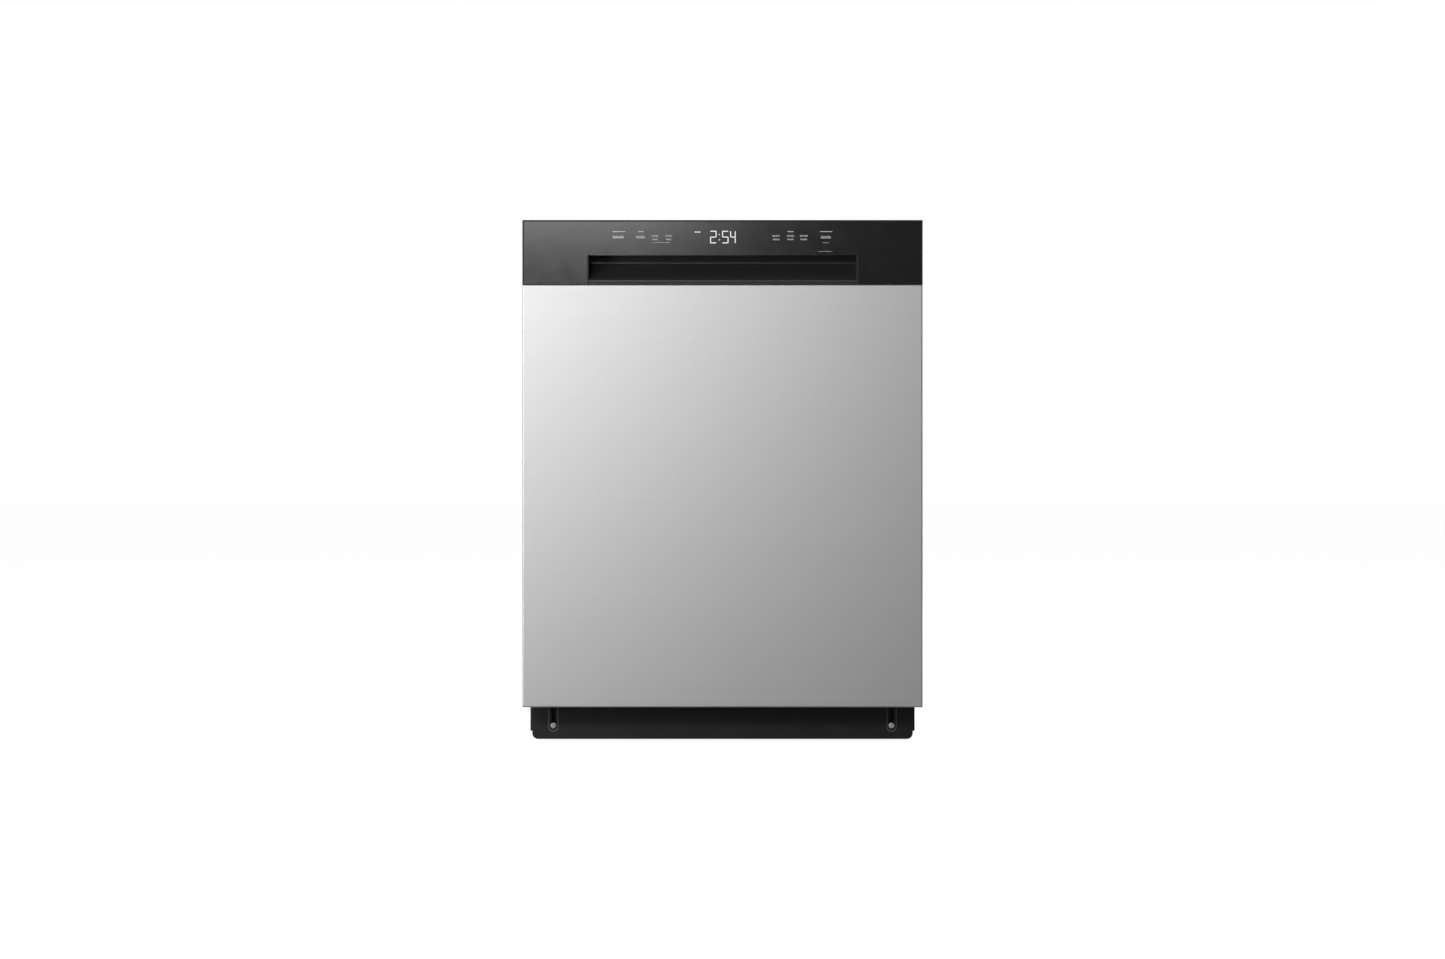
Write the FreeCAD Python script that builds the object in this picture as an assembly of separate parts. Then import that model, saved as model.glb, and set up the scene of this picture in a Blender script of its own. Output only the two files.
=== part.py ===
"""Built-in dishwasher, 24 inch class, front controls with a pocket handle.

Row frame: X across the width, the door faces -Y, +Z up. The origin is on the floor, under the
middle of the machine. Every length is in millimetres. One STEP file per sub-part goes to parts/.
"""

import FreeCAD
import Part

import math
import os

V = FreeCAD.Vector
X_AXIS, Y_AXIS, Z_AXIS = V(1, 0, 0), V(0, 1, 0), V(0, 0, 1)

# ---- overall size -------------------------------------------------------------------------
WIDTH = 603.0          # door width, 23 3/4 in
HEIGHT = 792.0         # floor to the top of the door with the feet screwed right in
DEPTH = 625.0          # door front to the ends of the rear spigots
FRONT = -DEPTH / 2
REAR = DEPTH / 2

# ---- door ---------------------------------------------------------------------------------
DOOR_BOTTOM = HEIGHT - 734.0
FASCIA_HEIGHT = 97.0
FASCIA_BOTTOM = HEIGHT - FASCIA_HEIGHT
SHEET = 0.9            # stainless sheet of the door skin, liner and tub
DOOR_RETURN = 36.0     # how far the skin's sides turn back
LINER_FACE = FRONT + 56.0
LINER_HALF = WIDTH / 2 - 2.2
LINER_BOTTOM = DOOR_BOTTOM + 61.0
LINER_TOP = HEIGHT - 3.0
LATCH_Y, LATCH_Z = FRONT + 35.5, HEIGHT - 27.0
SWAGE = 246.0          # half width of the liner's raised field, inside the wheel tracks
SCREW_Y, SCREW_ZS = FRONT + 28.0, (160.0, 400.0, 640.0)
HINGE_Y = FRONT + 12.5
HINGE_Z = DOOR_BOTTOM + 41.0

# ---- pocket handle in the control fascia -----------------------------------------------------
POCKET_HALF = 201.8
POCKET_LOW = FASCIA_BOTTOM + 4.6
POCKET_HIGH = POCKET_LOW + 39.2

# ---- tub ----------------------------------------------------------------------------------
TUB_HALF = 284.0       # outside
TUB_FRONT = -250.0
TUB_BACK = 285.0
TUB_FLOOR = 120.0      # outside of the floor
TUB_TOP = 758.0
FLANGE_HALF = 297.0
FLANGE_TOP = 768.0
LEDGE_Z = 143.0        # where the lower rack's wheels roll
LEDGE_INNER = 255.0
LIP_TOP = 141.0
SPRAY_Y = 20.0         # spray arms' common axis
RISER_Y = 274.0        # where the feed pipe passes through the tub floor
FLOAT_X, FLOAT_Y = -214.0, -196.0
FLOAT_STEM_R = 5.0
FILTER_X, FILTER_Y = 40.0, SPRAY_Y - 48.0
PUMP_Z = 66.0          # wash pump and heater axis
DRAIN_X, DRAIN_Z = 150.0, 72.0
DRAIN_OUT_X = 226.0

# ---- base ---------------------------------------------------------------------------------
BASE_HALF = 296.0
BASE_WALL = 3.0
BASE_LOW = 14.0
BASE_HIGH = 116.0
BASE_FRONT = -238.0
BASE_REAR = 294.0
FOOT_X, FOOT_FRONT_Y, FOOT_REAR_Y = 254.0, -205.0, 272.0
FOOT_STEM_R = 6.0
FOOT_TRAVEL = 65.0

# ---- kick plate -----------------------------------------------------------------------------
KICK_HALF = 292.0
KICK_FACE = FRONT + 62.0
KICK_SHEET = 1.5
KICK_LOW, KICK_HIGH = 3.0, 96.0
KICK_SCREW_X, KICK_SCREW_Z = 259.4, 23.7
KICK_TRAVEL = 60.0
SLOT_R = 3.2

# ---- racks --------------------------------------------------------------------------------
WIRE_R = 1.9
TINE_R = 1.5
TOUCH = 0.02           # clearance between wires that are welded at a crossing
LOWER = {"half": 248.0, "front": -226.0, "back": 250.0, "floor": 166.0, "rim": 298.0}
UPPER = {"half": 238.0, "front": -226.0, "back": 234.0, "floor": 480.0, "rim": 590.0}
WHEEL_R = 16.0
DUCT_Z = 469.0         # axis of the upper rack's water duct
RAIL_Z = 560.0         # middle of the upper rack's side rails
RAIL_HALF_HEIGHT = 14.0
SHELF_X, SHELF_Z = -228.0, 562.0
RAIL_INNER, RAIL_OUTER = 252.0, 270.0
RAIL_SHEET = 1.2
UPPER_WHEEL_R = 12.4
UPPER_WHEEL_YS = (30.0, 190.0)
LOWER_WHEEL_YS = (-170.0, 190.0)

RUNNING = 0.05         # radial clearance of a pin in its hole
GAP = 0.3              # between soft parts and what they seal against


# ---- shape helpers --------------------------------------------------------------------------
def box(x0, x1, y0, y1, z0, z1):
    """A block between two corners."""
    return Part.makeBox(x1 - x0, y1 - y0, z1 - z0, V(x0, y0, z0))


def cylinder(radius, length, start, axis):
    """A cylinder from its start along an axis."""
    return Part.makeCylinder(radius, length, V(*start), axis)


def tube(outer, inner, length, start, axis):
    """A pipe from its start along an axis."""
    return cylinder(outer, length, start, axis).cut(cylinder(inner, length, start, axis))


def fuse(first, *others):
    """One solid from several that touch."""
    return first.multiFuse(list(others)).removeSplitter() if others else first


def cut(body, *tools):
    """The body with each tool taken away."""
    return body.cut(list(tools))


def extrude_x(points, x0, x1):
    """A prism along X from an outline of (y, z) points."""
    corners = [V(x0, y, z) for y, z in points]
    return Part.Face(Part.makePolygon(corners + corners[:1])).extrude(V(x1 - x0, 0, 0))


def extrude_y(points, y0, y1):
    """A prism along Y from an outline of (x, z) points."""
    corners = [V(x, y0, z) for x, z in points]
    return Part.Face(Part.makePolygon(corners + corners[:1])).extrude(V(0, y1 - y0, 0))


def extrude_z(points, z0, z1):
    """A prism along Z from an outline of (x, y) points."""
    corners = [V(x, y, z0) for x, y in points]
    return Part.Face(Part.makePolygon(corners + corners[:1])).extrude(V(0, 0, z1 - z0))


def mirrored(shape):
    """The same shape on the other side."""
    return shape.mirror(V(0, 0, 0), X_AXIS)


def both_sides(shape):
    """The shape and its mirror image."""
    return [shape, mirrored(shape)]


def round_edges(shape, radius, chosen):
    """Rounds the edges that the test picks by their middle point and direction."""
    edges = []
    for edge in shape.Edges:
        ends = [v.Point for v in edge.Vertexes]
        if len(ends) == 2 and chosen((ends[0] + ends[1]) * 0.5, (ends[1] - ends[0]).normalize()):
            edges.append(edge)
    return shape.makeFillet(radius, edges)


def obround(half_width, z_low, z_high, x, y0, y1):
    """A rounded slot's solid: two round ends joined, standing along Z, cut along Y."""
    middle = box(x - half_width, x + half_width, y0, y1, z_low, z_high)
    ends = [cylinder(half_width, y1 - y0, (x, y0, z), Y_AXIS) for z in (z_low, z_high)]
    return fuse(middle, *ends)


def rod(points, radius, bend=0.0):
    """A bent wire as straight runs and round elbows, which meet face to face. bend is one
    radius for every corner, or a list with a radius for each."""
    points = [V(*p) for p in points]
    bends = bend if isinstance(bend, list) else [bend] * len(points)
    pieces, start = [], points[0]
    for before, corner, after, arc in zip(points, points[1:], points[2:], bends):
        into = (corner - before).normalize()
        away = (after - corner).normalize()
        turn = into.getAngle(away)
        setback = arc * math.tan(turn / 2)
        tangent = corner - into * setback
        normal = into.cross(away).normalize()
        centre = tangent + normal.cross(into) * arc
        disc = Part.Face(Part.Wire(Part.makeCircle(radius, tangent, into)))
        pieces.append(Part.makeCylinder(radius, (tangent - start).Length, start, into))
        pieces.append(disc.revolve(centre, normal, math.degrees(turn)))
        start = corner + away * setback
    last = points[-1] - start
    pieces.append(Part.makeCylinder(radius, last.Length, start, last))
    return pieces


def loop(half, front, back, z, radius, bend):
    """A closed rounded rectangle of wire at one height."""
    middle = (front + back) / 2
    corners = [(-half, front, z), (half, front, z), (half, back, z), (-half, back, z)]
    seam = (-half, middle, z)
    return rod([seam] + corners + [seam], radius, bend)


def spread(first, last, count):
    """Evenly spaced numbers, both ends included."""
    return [first + (last - first) * i / (count - 1) for i in range(count)]


# ---- tub and what is fixed to it --------------------------------------------------------------
def tub():
    """The stainless tub as sheets that meet edge to edge: walls, ceiling, wheel ledges, floor,
    front lip and the flange that the door seal meets."""
    inner, front, back = TUB_HALF - SHEET, TUB_FRONT + SHEET, TUB_BACK - SHEET
    under, ceiling = LEDGE_Z - SHEET, TUB_TOP - SHEET
    step_outer = LEDGE_INNER + SHEET
    floor = box(-LEDGE_INNER, LEDGE_INNER, front, back, TUB_FLOOR, TUB_FLOOR + SHEET)
    holes = [cylinder(118, 4, (0, SPRAY_Y, TUB_FLOOR - 1), Z_AXIS),
             cylinder(9, 4, (FLOAT_X, FLOAT_Y, TUB_FLOOR - 1), Z_AXIS),
             cylinder(9.5, 4, (0, RISER_Y, TUB_FLOOR - 1), Z_AXIS)]
    middle = [cut(floor, *holes),
              box(-inner, inner, front, TUB_BACK, ceiling, TUB_TOP),
              box(-inner, inner, back, TUB_BACK, under, ceiling),
              box(-step_outer, step_outer, back, TUB_BACK, TUB_FLOOR, under),
              box(-LEDGE_INNER, LEDGE_INNER, TUB_FRONT, front, TUB_FLOOR, LIP_TOP),
              box(-inner, inner, TUB_FRONT, front, ceiling, FLANGE_TOP),
              tube(9, FLOAT_STEM_R + RUNNING, 8 + SHEET, (FLOAT_X, FLOAT_Y, TUB_FLOOR - 8), Z_AXIS)]
    right = [box(inner, TUB_HALF, front, TUB_BACK, under, TUB_TOP),
             box(LEDGE_INNER, inner, front, back, under, LEDGE_Z),
             box(LEDGE_INNER, step_outer, front, back, TUB_FLOOR, under),
             box(inner, FLANGE_HALF, TUB_FRONT, front, TUB_FLOOR, FLANGE_TOP),
             box(LEDGE_INNER, inner, TUB_FRONT, front, TUB_FLOOR, LEDGE_Z)]
    return middle + [s for shape in right for s in both_sides(shape)]


def door_gasket():
    """The rubber seal round the tub's mouth: up both sides and over the top."""
    low, high, inside = 124.0, 766.0, TUB_HALF + 0.5
    front, back = LINER_FACE + GAP, TUB_FRONT
    outer = box(-inside - 8, inside + 8, front, back, low, high)
    inner = box(-inside, inside, front - 1, back + 1, low - 1, high - 7.5)
    ring = cut(outer, inner)
    return [round_edges(ring, 2.2, lambda m, d: m.y < front + 0.1)]


def top_cross_rail():
    """A galvanised channel over the tub's front, which carries the strike and brackets."""
    front, back, low, high = TUB_FRONT, TUB_FRONT + 34, 770.0, 788.0
    channel = cut(box(-288, 288, front, back, low, high),
                  box(-289, 289, front + 1.5, back - 1.5, low + 1.5, high + 1))
    feet = [box(s * 268 - 12, s * 268 + 12, front + 4, back - 4, TUB_TOP, low) for s in (-1, 1)]
    return [fuse(channel, *feet)]


def countertop_brackets():
    """Two steel tabs that screw up into the worktop."""
    y0, y1 = TUB_FRONT + 2, TUB_FRONT + 32
    pieces = []
    for side in (-1, 1):
        x = side * 200.0
        tab = box(x - 14, x + 14, y0, y1, 789.6, 791.2)
        web = box(x - 14, x + 14, y0, y0 + 1.6, 771.6, 789.6)
        foot = box(x - 14, x + 14, y0 + 1.6, y1 - 2.2, 771.6, 773.2)
        hole = cylinder(2.6, 4, (x, TUB_FRONT + 20, 788.5), Z_AXIS)
        pieces.append(cut(fuse(tab, web, foot), hole))
    return pieces


def latch_strike():
    """The loop on the tub's top edge that the door latch grips."""
    low, high = 774.0, 782.0
    plate = box(-26, 26, TUB_FRONT - 1.5, TUB_FRONT, 770.5, 785)
    arms = box(-13, 13, TUB_FRONT - 20, TUB_FRONT - 1.5, low, high)
    window = box(-9, 9, TUB_FRONT - 16, TUB_FRONT - 1.5, low - 1, high + 1)
    return [fuse(plate, cut(arms, window))]


def insulation_blanket():
    """Four sound mats: both sides, the top and the back."""
    side = box(TUB_HALF + 0.6, 296.5, TUB_FRONT + 6, 170, 150, 768)
    top = box(-270, 270, TUB_FRONT + 40, TUB_BACK, TUB_TOP + 0.5, TUB_TOP + 10)
    back = box(-276, 276, TUB_BACK + 0.5, TUB_BACK + 11, 150, TUB_TOP - 4)
    return both_sides(side) + [top, back]


def rail_glides():
    """Nylon guides on the tub's walls that hold the upper rack's rails: a back and two lips."""
    wall = TUB_HALF - SHEET
    top, low = RAIL_Z + RAIL_HALF_HEIGHT, RAIL_Z - RAIL_HALF_HEIGHT
    pieces = []
    for y0 in (-234.0, -60.0):
        y1 = y0 + 34
        for x0, x1, z0, z1 in ((RAIL_OUTER + 0.4, wall, low - 8, top + 8),
                               (RAIL_INNER + 2, RAIL_OUTER + 0.4, top + 0.4, top + 8),
                               (RAIL_INNER + 2, RAIL_OUTER + 0.4, low - 8, low - 0.4)):
            pieces += both_sides(box(x0, x1, y0, y1, z0, z1))
    return pieces


def feed_pipe():
    """The flat riser up the tub's back wall, which turns forward along the ceiling."""
    back, ceiling = TUB_BACK - SHEET, TUB_TOP - SHEET
    riser = box(-17, 17, back - 16, back, TUB_FLOOR + SHEET + 1, ceiling)
    riser = round_edges(riser, 5, lambda m, d: abs(d.z) > 0.9 and m.y < back - 10)
    run = box(-14, 14, SPRAY_Y - 14, back - 10, ceiling - 9, ceiling)
    run = round_edges(run, 4, lambda m, d: abs(d.z) > 0.9 and m.y < SPRAY_Y)
    inlet = cylinder(9, 26, (0, RISER_Y, TUB_FLOOR - 24), Z_AXIS)
    hub = cylinder(9, 8, (0, SPRAY_Y, ceiling - 16), Z_AXIS)
    spindle = cylinder(5, 14, (0, SPRAY_Y, ceiling - 30), Z_AXIS)
    retainer = cylinder(8, 2, (0, SPRAY_Y, ceiling - 31.4), Z_AXIS)
    port = cylinder(8, 8, (0, back - 23, DUCT_Z), Y_AXIS)
    return [fuse(riser, run, inlet, hub, spindle, retainer, port)]


# ---- sump, filters and wash system ---------------------------------------------------------------
def sump():
    """The moulded sump under the tub floor: bowl, spray arm's post, filter cup and two ports."""
    rim = cylinder(126, 3, (0, SPRAY_Y, TUB_FLOOR - 3.1), Z_AXIS)
    bowl = Part.makeCone(104, 116, 58, V(0, SPRAY_Y, 59), Z_AXIS)
    inside = Part.makeCone(100, 112, 59, V(0, SPRAY_Y, 62), Z_AXIS)
    post = cylinder(9, 91, (0, SPRAY_Y, 62), Z_AXIS)
    collar = cylinder(14, 6.5, (0, SPRAY_Y, 124), Z_AXIS)
    cap = cylinder(14, 4, (0, SPRAY_Y, 152.4), Z_AXIS)
    cup = tube(40, 37, 41, (FILTER_X, FILTER_Y, 62), Z_AXIS).common(inside)
    wash_port = cylinder(12, 30, (-124.5, SPRAY_Y, PUMP_Z + 8), X_AXIS)
    drain_port = cylinder(9, 30, (86, -20, DRAIN_Z), X_AXIS)
    return [cut(fuse(rim, bowl), inside), fuse(post, collar, cap), cup,
            cut(wash_port, bowl), cut(drain_port, bowl)]


def coarse_filter():
    """The flat perforated stainless filter plate in the tub floor."""
    z = TUB_FLOOR + SHEET + 0.1
    plate = cylinder(114, 1.2, (0, SPRAY_Y, z), Z_AXIS)
    holes = [cylinder(11, 4, (0, SPRAY_Y, z - 1), Z_AXIS),
             cylinder(37.4, 4, (FILTER_X, FILTER_Y, z - 1), Z_AXIS)]
    slots = []
    for ring, count in ((56, 14), (76, 20), (96, 26)):
        for i in range(count):
            a = 2 * math.pi * i / count
            x, y = ring * math.cos(a), ring * math.sin(a)
            if math.hypot(x - FILTER_X, y + 48) > 43:
                slots.append(cylinder(3.4, 4, (x, SPRAY_Y + y, z - 1), Z_AXIS))
    return [cut(plate, *(holes + slots))]


def fine_filter():
    """The cylindrical fine filter, which turns to unlock: a finned grip over a mesh cup."""
    x, y = FILTER_X, FILTER_Y
    cup = tube(33, 31.5, 52, (x, y, 68), Z_AXIS)
    base = cylinder(33, 2, (x, y, 66), Z_AXIS)
    cap = tube(36.5, 24, 4, (x, y, 119), Z_AXIS)
    grip = box(x - 25, x + 25, y - 3, y + 3, 119, 129)
    return [fuse(cup, base, cap, grip)]


def float_dome():
    """The overfill float's dome in the tub's front corner."""
    x, y, low = FLOAT_X, FLOAT_Y, TUB_FLOOR + SHEET + 0.2
    skirt = cylinder(20, 12, (x, y, low), Z_AXIS)
    top = Part.makeCone(20, 13, 6, V(x, y, low + 12), Z_AXIS)
    inside = cylinder(17, 10, (x, y, low - 0.5), Z_AXIS)
    stem = cylinder(FLOAT_STEM_R, 30, (x, y, low - 18), Z_AXIS)
    return [fuse(cut(fuse(skirt, top), inside), stem)]


def arm_branch(length, root, tip, z0, z1, angle):
    """One branch of a spray arm: a tapered, round-ended hollow-looking bar."""
    bar = extrude_z([(0, -root), (length, -tip), (length, tip), (0, root)], z0, z1)
    end = cylinder(tip, z1 - z0, (length, 0, z0), Z_AXIS)
    branch = fuse(bar, end)
    branch.rotate(V(0, 0, 0), Z_AXIS, angle)
    return branch


def spray_arm(z0, z1, branches, hub_r, hub_z0, hub_z1, bore_r, jets):
    """A spray arm about the common axis. branches holds (length, root, tip, angle)."""
    pieces = [arm_branch(length, root, tip, z0, z1, angle)
              for length, root, tip, angle in branches]
    hub = cylinder(hub_r, hub_z1 - hub_z0, (0, 0, hub_z0), Z_AXIS)
    arm = fuse(hub, *pieces)
    holes = [cylinder(bore_r, 60, (0, 0, hub_z0 - 1), Z_AXIS)] if bore_r else []
    for length, _, tip, angle in branches:
        a = math.radians(angle)
        for i in range(jets):
            reach = hub_r + 14 + (length - hub_r - 18) * i / max(1, jets - 1)
            aside = tip * 0.25 * (-1) ** i
            x = reach * math.cos(a) - aside * math.sin(a)
            y = reach * math.sin(a) + aside * math.cos(a)
            holes.append(cylinder(1.7, 3, (x, y, z1 - 2), Z_AXIS))
    arm = cut(arm, *holes)
    arm.translate(V(0, SPRAY_Y, 0))
    return [arm]


def lower_spray_arm():
    branches = [(228, 23, 14, 35), (228, 23, 14, 215), (150, 19, 12, 125), (150, 19, 12, 305)]
    return spray_arm(134, 148, branches, 34, 131, 152, 9 + RUNNING, 7)


def middle_spray_arm():
    branches = [(205, 20, 12, 20), (205, 20, 12, 200)]
    return spray_arm(442, 453, branches, 26, 438.4, 457, 7 + RUNNING, 8)


def top_spray_arm():
    branches = [(105, 14, 9, 65), (105, 14, 9, 245)]
    return spray_arm(730, 738, branches, 18, 728, 740.7, 5 + RUNNING, 5)


def middle_manifold():
    """The duct under the upper rack that feeds the middle arm from the riser's port."""
    port_end = TUB_BACK - SHEET - 23 - 0.6
    duct = box(-12, 12, SPRAY_Y - 12, port_end - 8, DUCT_Z - 7, DUCT_Z + 6)
    duct = round_edges(duct, 4, lambda m, d: abs(d.y) > 0.9)
    mouth = cut(cylinder(13, 14, (0, port_end - 14, DUCT_Z - 4.5), Y_AXIS),
                cylinder(8.4, 10, (0, port_end - 9.9, DUCT_Z), Y_AXIS))
    mouth = cut(mouth, box(-20, 20, 200, 300, DUCT_Z + 8.4, DUCT_Z + 20))
    drop = cylinder(12, 5, (0, SPRAY_Y, 457.3), Z_AXIS)
    spindle = cylinder(7, 22, (0, SPRAY_Y, 438), Z_AXIS)
    retainer = cylinder(10, 2, (0, SPRAY_Y, 436), Z_AXIS)
    clips = []
    for y in (55.0, 157.0):
        clip = box(-8, 8, y - 4, y + 4, DUCT_Z + 5, UPPER["floor"] - 0.6)
        clips.append(cut(clip, cylinder(WIRE_R + TOUCH, 20, (-10, y, UPPER["floor"]), X_AXIS)))
    return [fuse(duct, mouth, drop, spindle, retainer, *clips)]


def wash_pump_housing():
    """The circulation pump, lying along X: motor can, end cap, volute, its outlet and two feet."""
    y, z = SPRAY_Y, PUMP_Z
    pieces = [tube(34, 31, 89, (-246, y, z), X_AXIS),
              cylinder(34, 3, (-249, y, z), X_AXIS),
              tube(9, 5 + RUNNING, 5, (-246, y, z), X_AXIS),
              tube(42, 5 + RUNNING, 3, (-157, y, z), X_AXIS),
              tube(42, 38, 26, (-154, y, z), X_AXIS),
              tube(42, 14, 3, (-128, y, z), X_AXIS)]
    outlet = cut(cylinder(13, 46, (-141, y + 30, z), Y_AXIS),
                 cylinder(10, 60, (-141, y + 20, z), Y_AXIS), cylinder(42, 26, (-154, y, z), X_AXIS))
    feet = [box(x - 4, x + 4, y - 22, y + 22, BASE_LOW + 3, z - 30) for x in (-225, -190)]
    legs = [cut(f, cylinder(34, 92, (-246, y, z), X_AXIS)) for f in feet]
    return pieces + [outlet] + legs


def pump_rotor():
    """The wash pump's magnet rotor, shaft and bladed impeller."""
    y, z = SPRAY_Y, PUMP_Z
    rotor = cylinder(27, 70, (-236, y, z), X_AXIS)
    shaft = cylinder(5, 92, (-243, y, z), X_AXIS)
    disc = cylinder(33, 4, (-151, y, z), X_AXIS)
    blades = []
    for i in range(6):
        blade = box(-147, -136, y - 1.5, y + 1.5, z + 8, z + 31)
        blade.rotate(V(0, y, z), X_AXIS, 60 * i)
        blades.append(blade)
    return [fuse(rotor, shaft, disc, *blades)]


def heater():
    """The flow-through water heater between the pump and the riser, with two terminals."""
    y, z = 160.0, PUMP_Z
    body = tube(28, 22, 96, (-60, y, z), X_AXIS)
    caps = [cylinder(28, 4, (-64, y, z), X_AXIS), cylinder(28, 4, (36, y, z), X_AXIS)]
    terminals = [box(x - 3, x + 3, y - 5, y + 5, z + 27, z + 38) for x in (-40, 16)]
    outlet = cylinder(12, 30, (0, y + 26, z), Y_AXIS)
    core = cylinder(22, 96, (-60, y, z), X_AXIS)
    extras = [cut(s, core) for s in terminals + [outlet]]
    return [fuse(body, *(caps + extras))]


def drain_pump_housing():
    """The drain pump's shell, beside the sump's outlet."""
    x, z = DRAIN_X, DRAIN_Z
    shell = tube(24, 21, 62, (x, -140, z), Y_AXIS)
    back = cylinder(24, 3, (x, -143, z), Y_AXIS)
    bearing = tube(6, 3 + RUNNING, 3, (x, -140, z), Y_AXIS)
    front = tube(24, 9, 3, (x, -78, z), Y_AXIS)
    spout = cut(cylinder(9, 34, (x, -92, z), X_AXIS),
                cylinder(21, 62, (x, -140, z), Y_AXIS))
    feet = [box(x - 16, x + 16, y, y + 6, BASE_LOW + 3, z - 14) for y in (-134, -96)]
    legs = [cut(f, cylinder(24, 68, (x, -143, z), Y_AXIS)) for f in feet]
    return [fuse(shell, back, bearing, front, spout, *legs)]


def drain_impeller():
    """The drain pump's rotor with four flat blades."""
    x, z = DRAIN_X, DRAIN_Z
    shaft = cylinder(3, 5, (x, -139.7, z), Y_AXIS)
    rotor = cylinder(14, 36, (x, -136, z), Y_AXIS)
    hub = cylinder(6, 18, (x, -100, z), Y_AXIS)
    blades = [box(x - 18, x + 18, -96, -84, z - 1.2, z + 1.2),
              box(x - 1.2, x + 1.2, -96, -84, z - 18, z + 18)]
    return [fuse(shaft, rotor, hub, *blades)]


def inlet_valve():
    """The solenoid water valve: its threaded spigot passes out through the base's rear wall."""
    x, z, wall = -215.0, 52.0, BASE_REAR - BASE_WALL
    body = box(x - 18, x + 18, wall - 55, wall - 11, z - 18, z + 20)
    collar = cylinder(16, 10.7, (x, wall - 11, z), Y_AXIS)
    neck = cylinder(12.6, 4.4, (x, wall - 0.4, z), Y_AXIS)
    spigot = cylinder(13.2, REAR - BASE_REAR - 1, (x, BASE_REAR + 1, z), Y_AXIS)
    coil = cylinder(15, 30, (x, wall - 33, z + 20), Z_AXIS)
    outlet = cylinder(7, 16, (x, wall - 70, z), Y_AXIS)
    water_way = cylinder(9, 24, (x, REAR - 22, z), Y_AXIS)
    return [cut(fuse(body, collar, neck, spigot, coil, outlet), water_way)]


def air_break():
    """The flat moulded water chamber on the tub's left side, with its baffles."""
    outside, inside = -297.0, -TUB_HALF - 0.4
    case = box(outside, inside, 178, 276, 240, 620)
    case = round_edges(case, 6, lambda m, d: abs(d.x) > 0.9)
    grooves = []
    for i in range(6):
        z = 275 + 56 * i
        shift = 0 if i % 2 else 22
        grooves.append(box(outside - 1, outside + 3, 188 + shift, 244 + shift, z, z + 14))
    nipple = cylinder(6, 24, (-290.8, 262, 216), Z_AXIS)
    return [fuse(cut(case, *grooves), nipple)]


def hose(points, radius, bend):
    return fuse(*rod(points, radius, bend))


def internal_hoses():
    """Inlet, drain, sump-to-pump, pump-to-heater and heater-to-riser hoses. The drain hose goes
    up the tub's side and down again in a high loop."""
    low_x, high_x = 286.4, 290.7
    inlet = hose([(-215, BASE_REAR - 73.4, 52), (-215, 196, 52), (-low_x, 196, 52),
                  (-low_x, 262, 80), (-low_x, 262, 106), (-high_x, 262, 152),
                  (-high_x, 262, 215.6)], 5, [20, 24, 20, 20, 20])
    up, down = 188.0, 268.0
    drain = hose([(DRAIN_X + 34.4, -92, DRAIN_Z), (222, -92, DRAIN_Z), (222, 112, DRAIN_Z),
                  (low_x, up, DRAIN_Z), (low_x, up, 106), (high_x, up, 152), (high_x, up, 560),
                  (high_x, down, 560), (high_x, down, 190), (high_x, 260, 152),
                  (low_x, 244, 106), (low_x, 222, 52), (DRAIN_OUT_X, 222, 52),
                  (DRAIN_OUT_X, BASE_REAR - 16.4, 52)], 5.5,
                 [30, 30, 30, 60, 60, 39, 39, 60, 60, 60, 26, 26])
    to_drain = hose([(116.4, -20, DRAIN_Z), (DRAIN_X, -20, DRAIN_Z), (DRAIN_X, -74.6, DRAIN_Z)],
                    8.5, 16)
    to_heater = hose([(-141, 96.4, PUMP_Z), (-141, 160, PUMP_Z), (-64.4, 160, PUMP_Z)], 12, 22)
    to_riser = hose([(0, 216.4, PUMP_Z), (0, RISER_Y, PUMP_Z), (0, RISER_Y, 95.6)], 8.5, 14)
    return [inlet, drain, to_drain, to_heater, to_riser]


def junction_box():
    """The mains terminal box behind the base's rear wall, with its lid and terminal block."""
    back = BASE_REAR - BASE_WALL - 0.5
    case = cut(box(70, 150, back - 60.5, back, 24, 84), box(72, 148, back - 62, back - 2, 26, 82))
    lid = box(72.1, 147.9, back - 60.5, back - 58.5, 26.1, 81.9)
    entry = cylinder(11.2, 8, (110, back - 4.5, 54), Y_AXIS)
    block = cut(box(90, 130, back - 34.5, back - 16.5, 26, 44),
                box(96, 124, back - 26.5, back - 15.5, 40, 45))
    return [cut(case, entry), lid, block]


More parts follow.
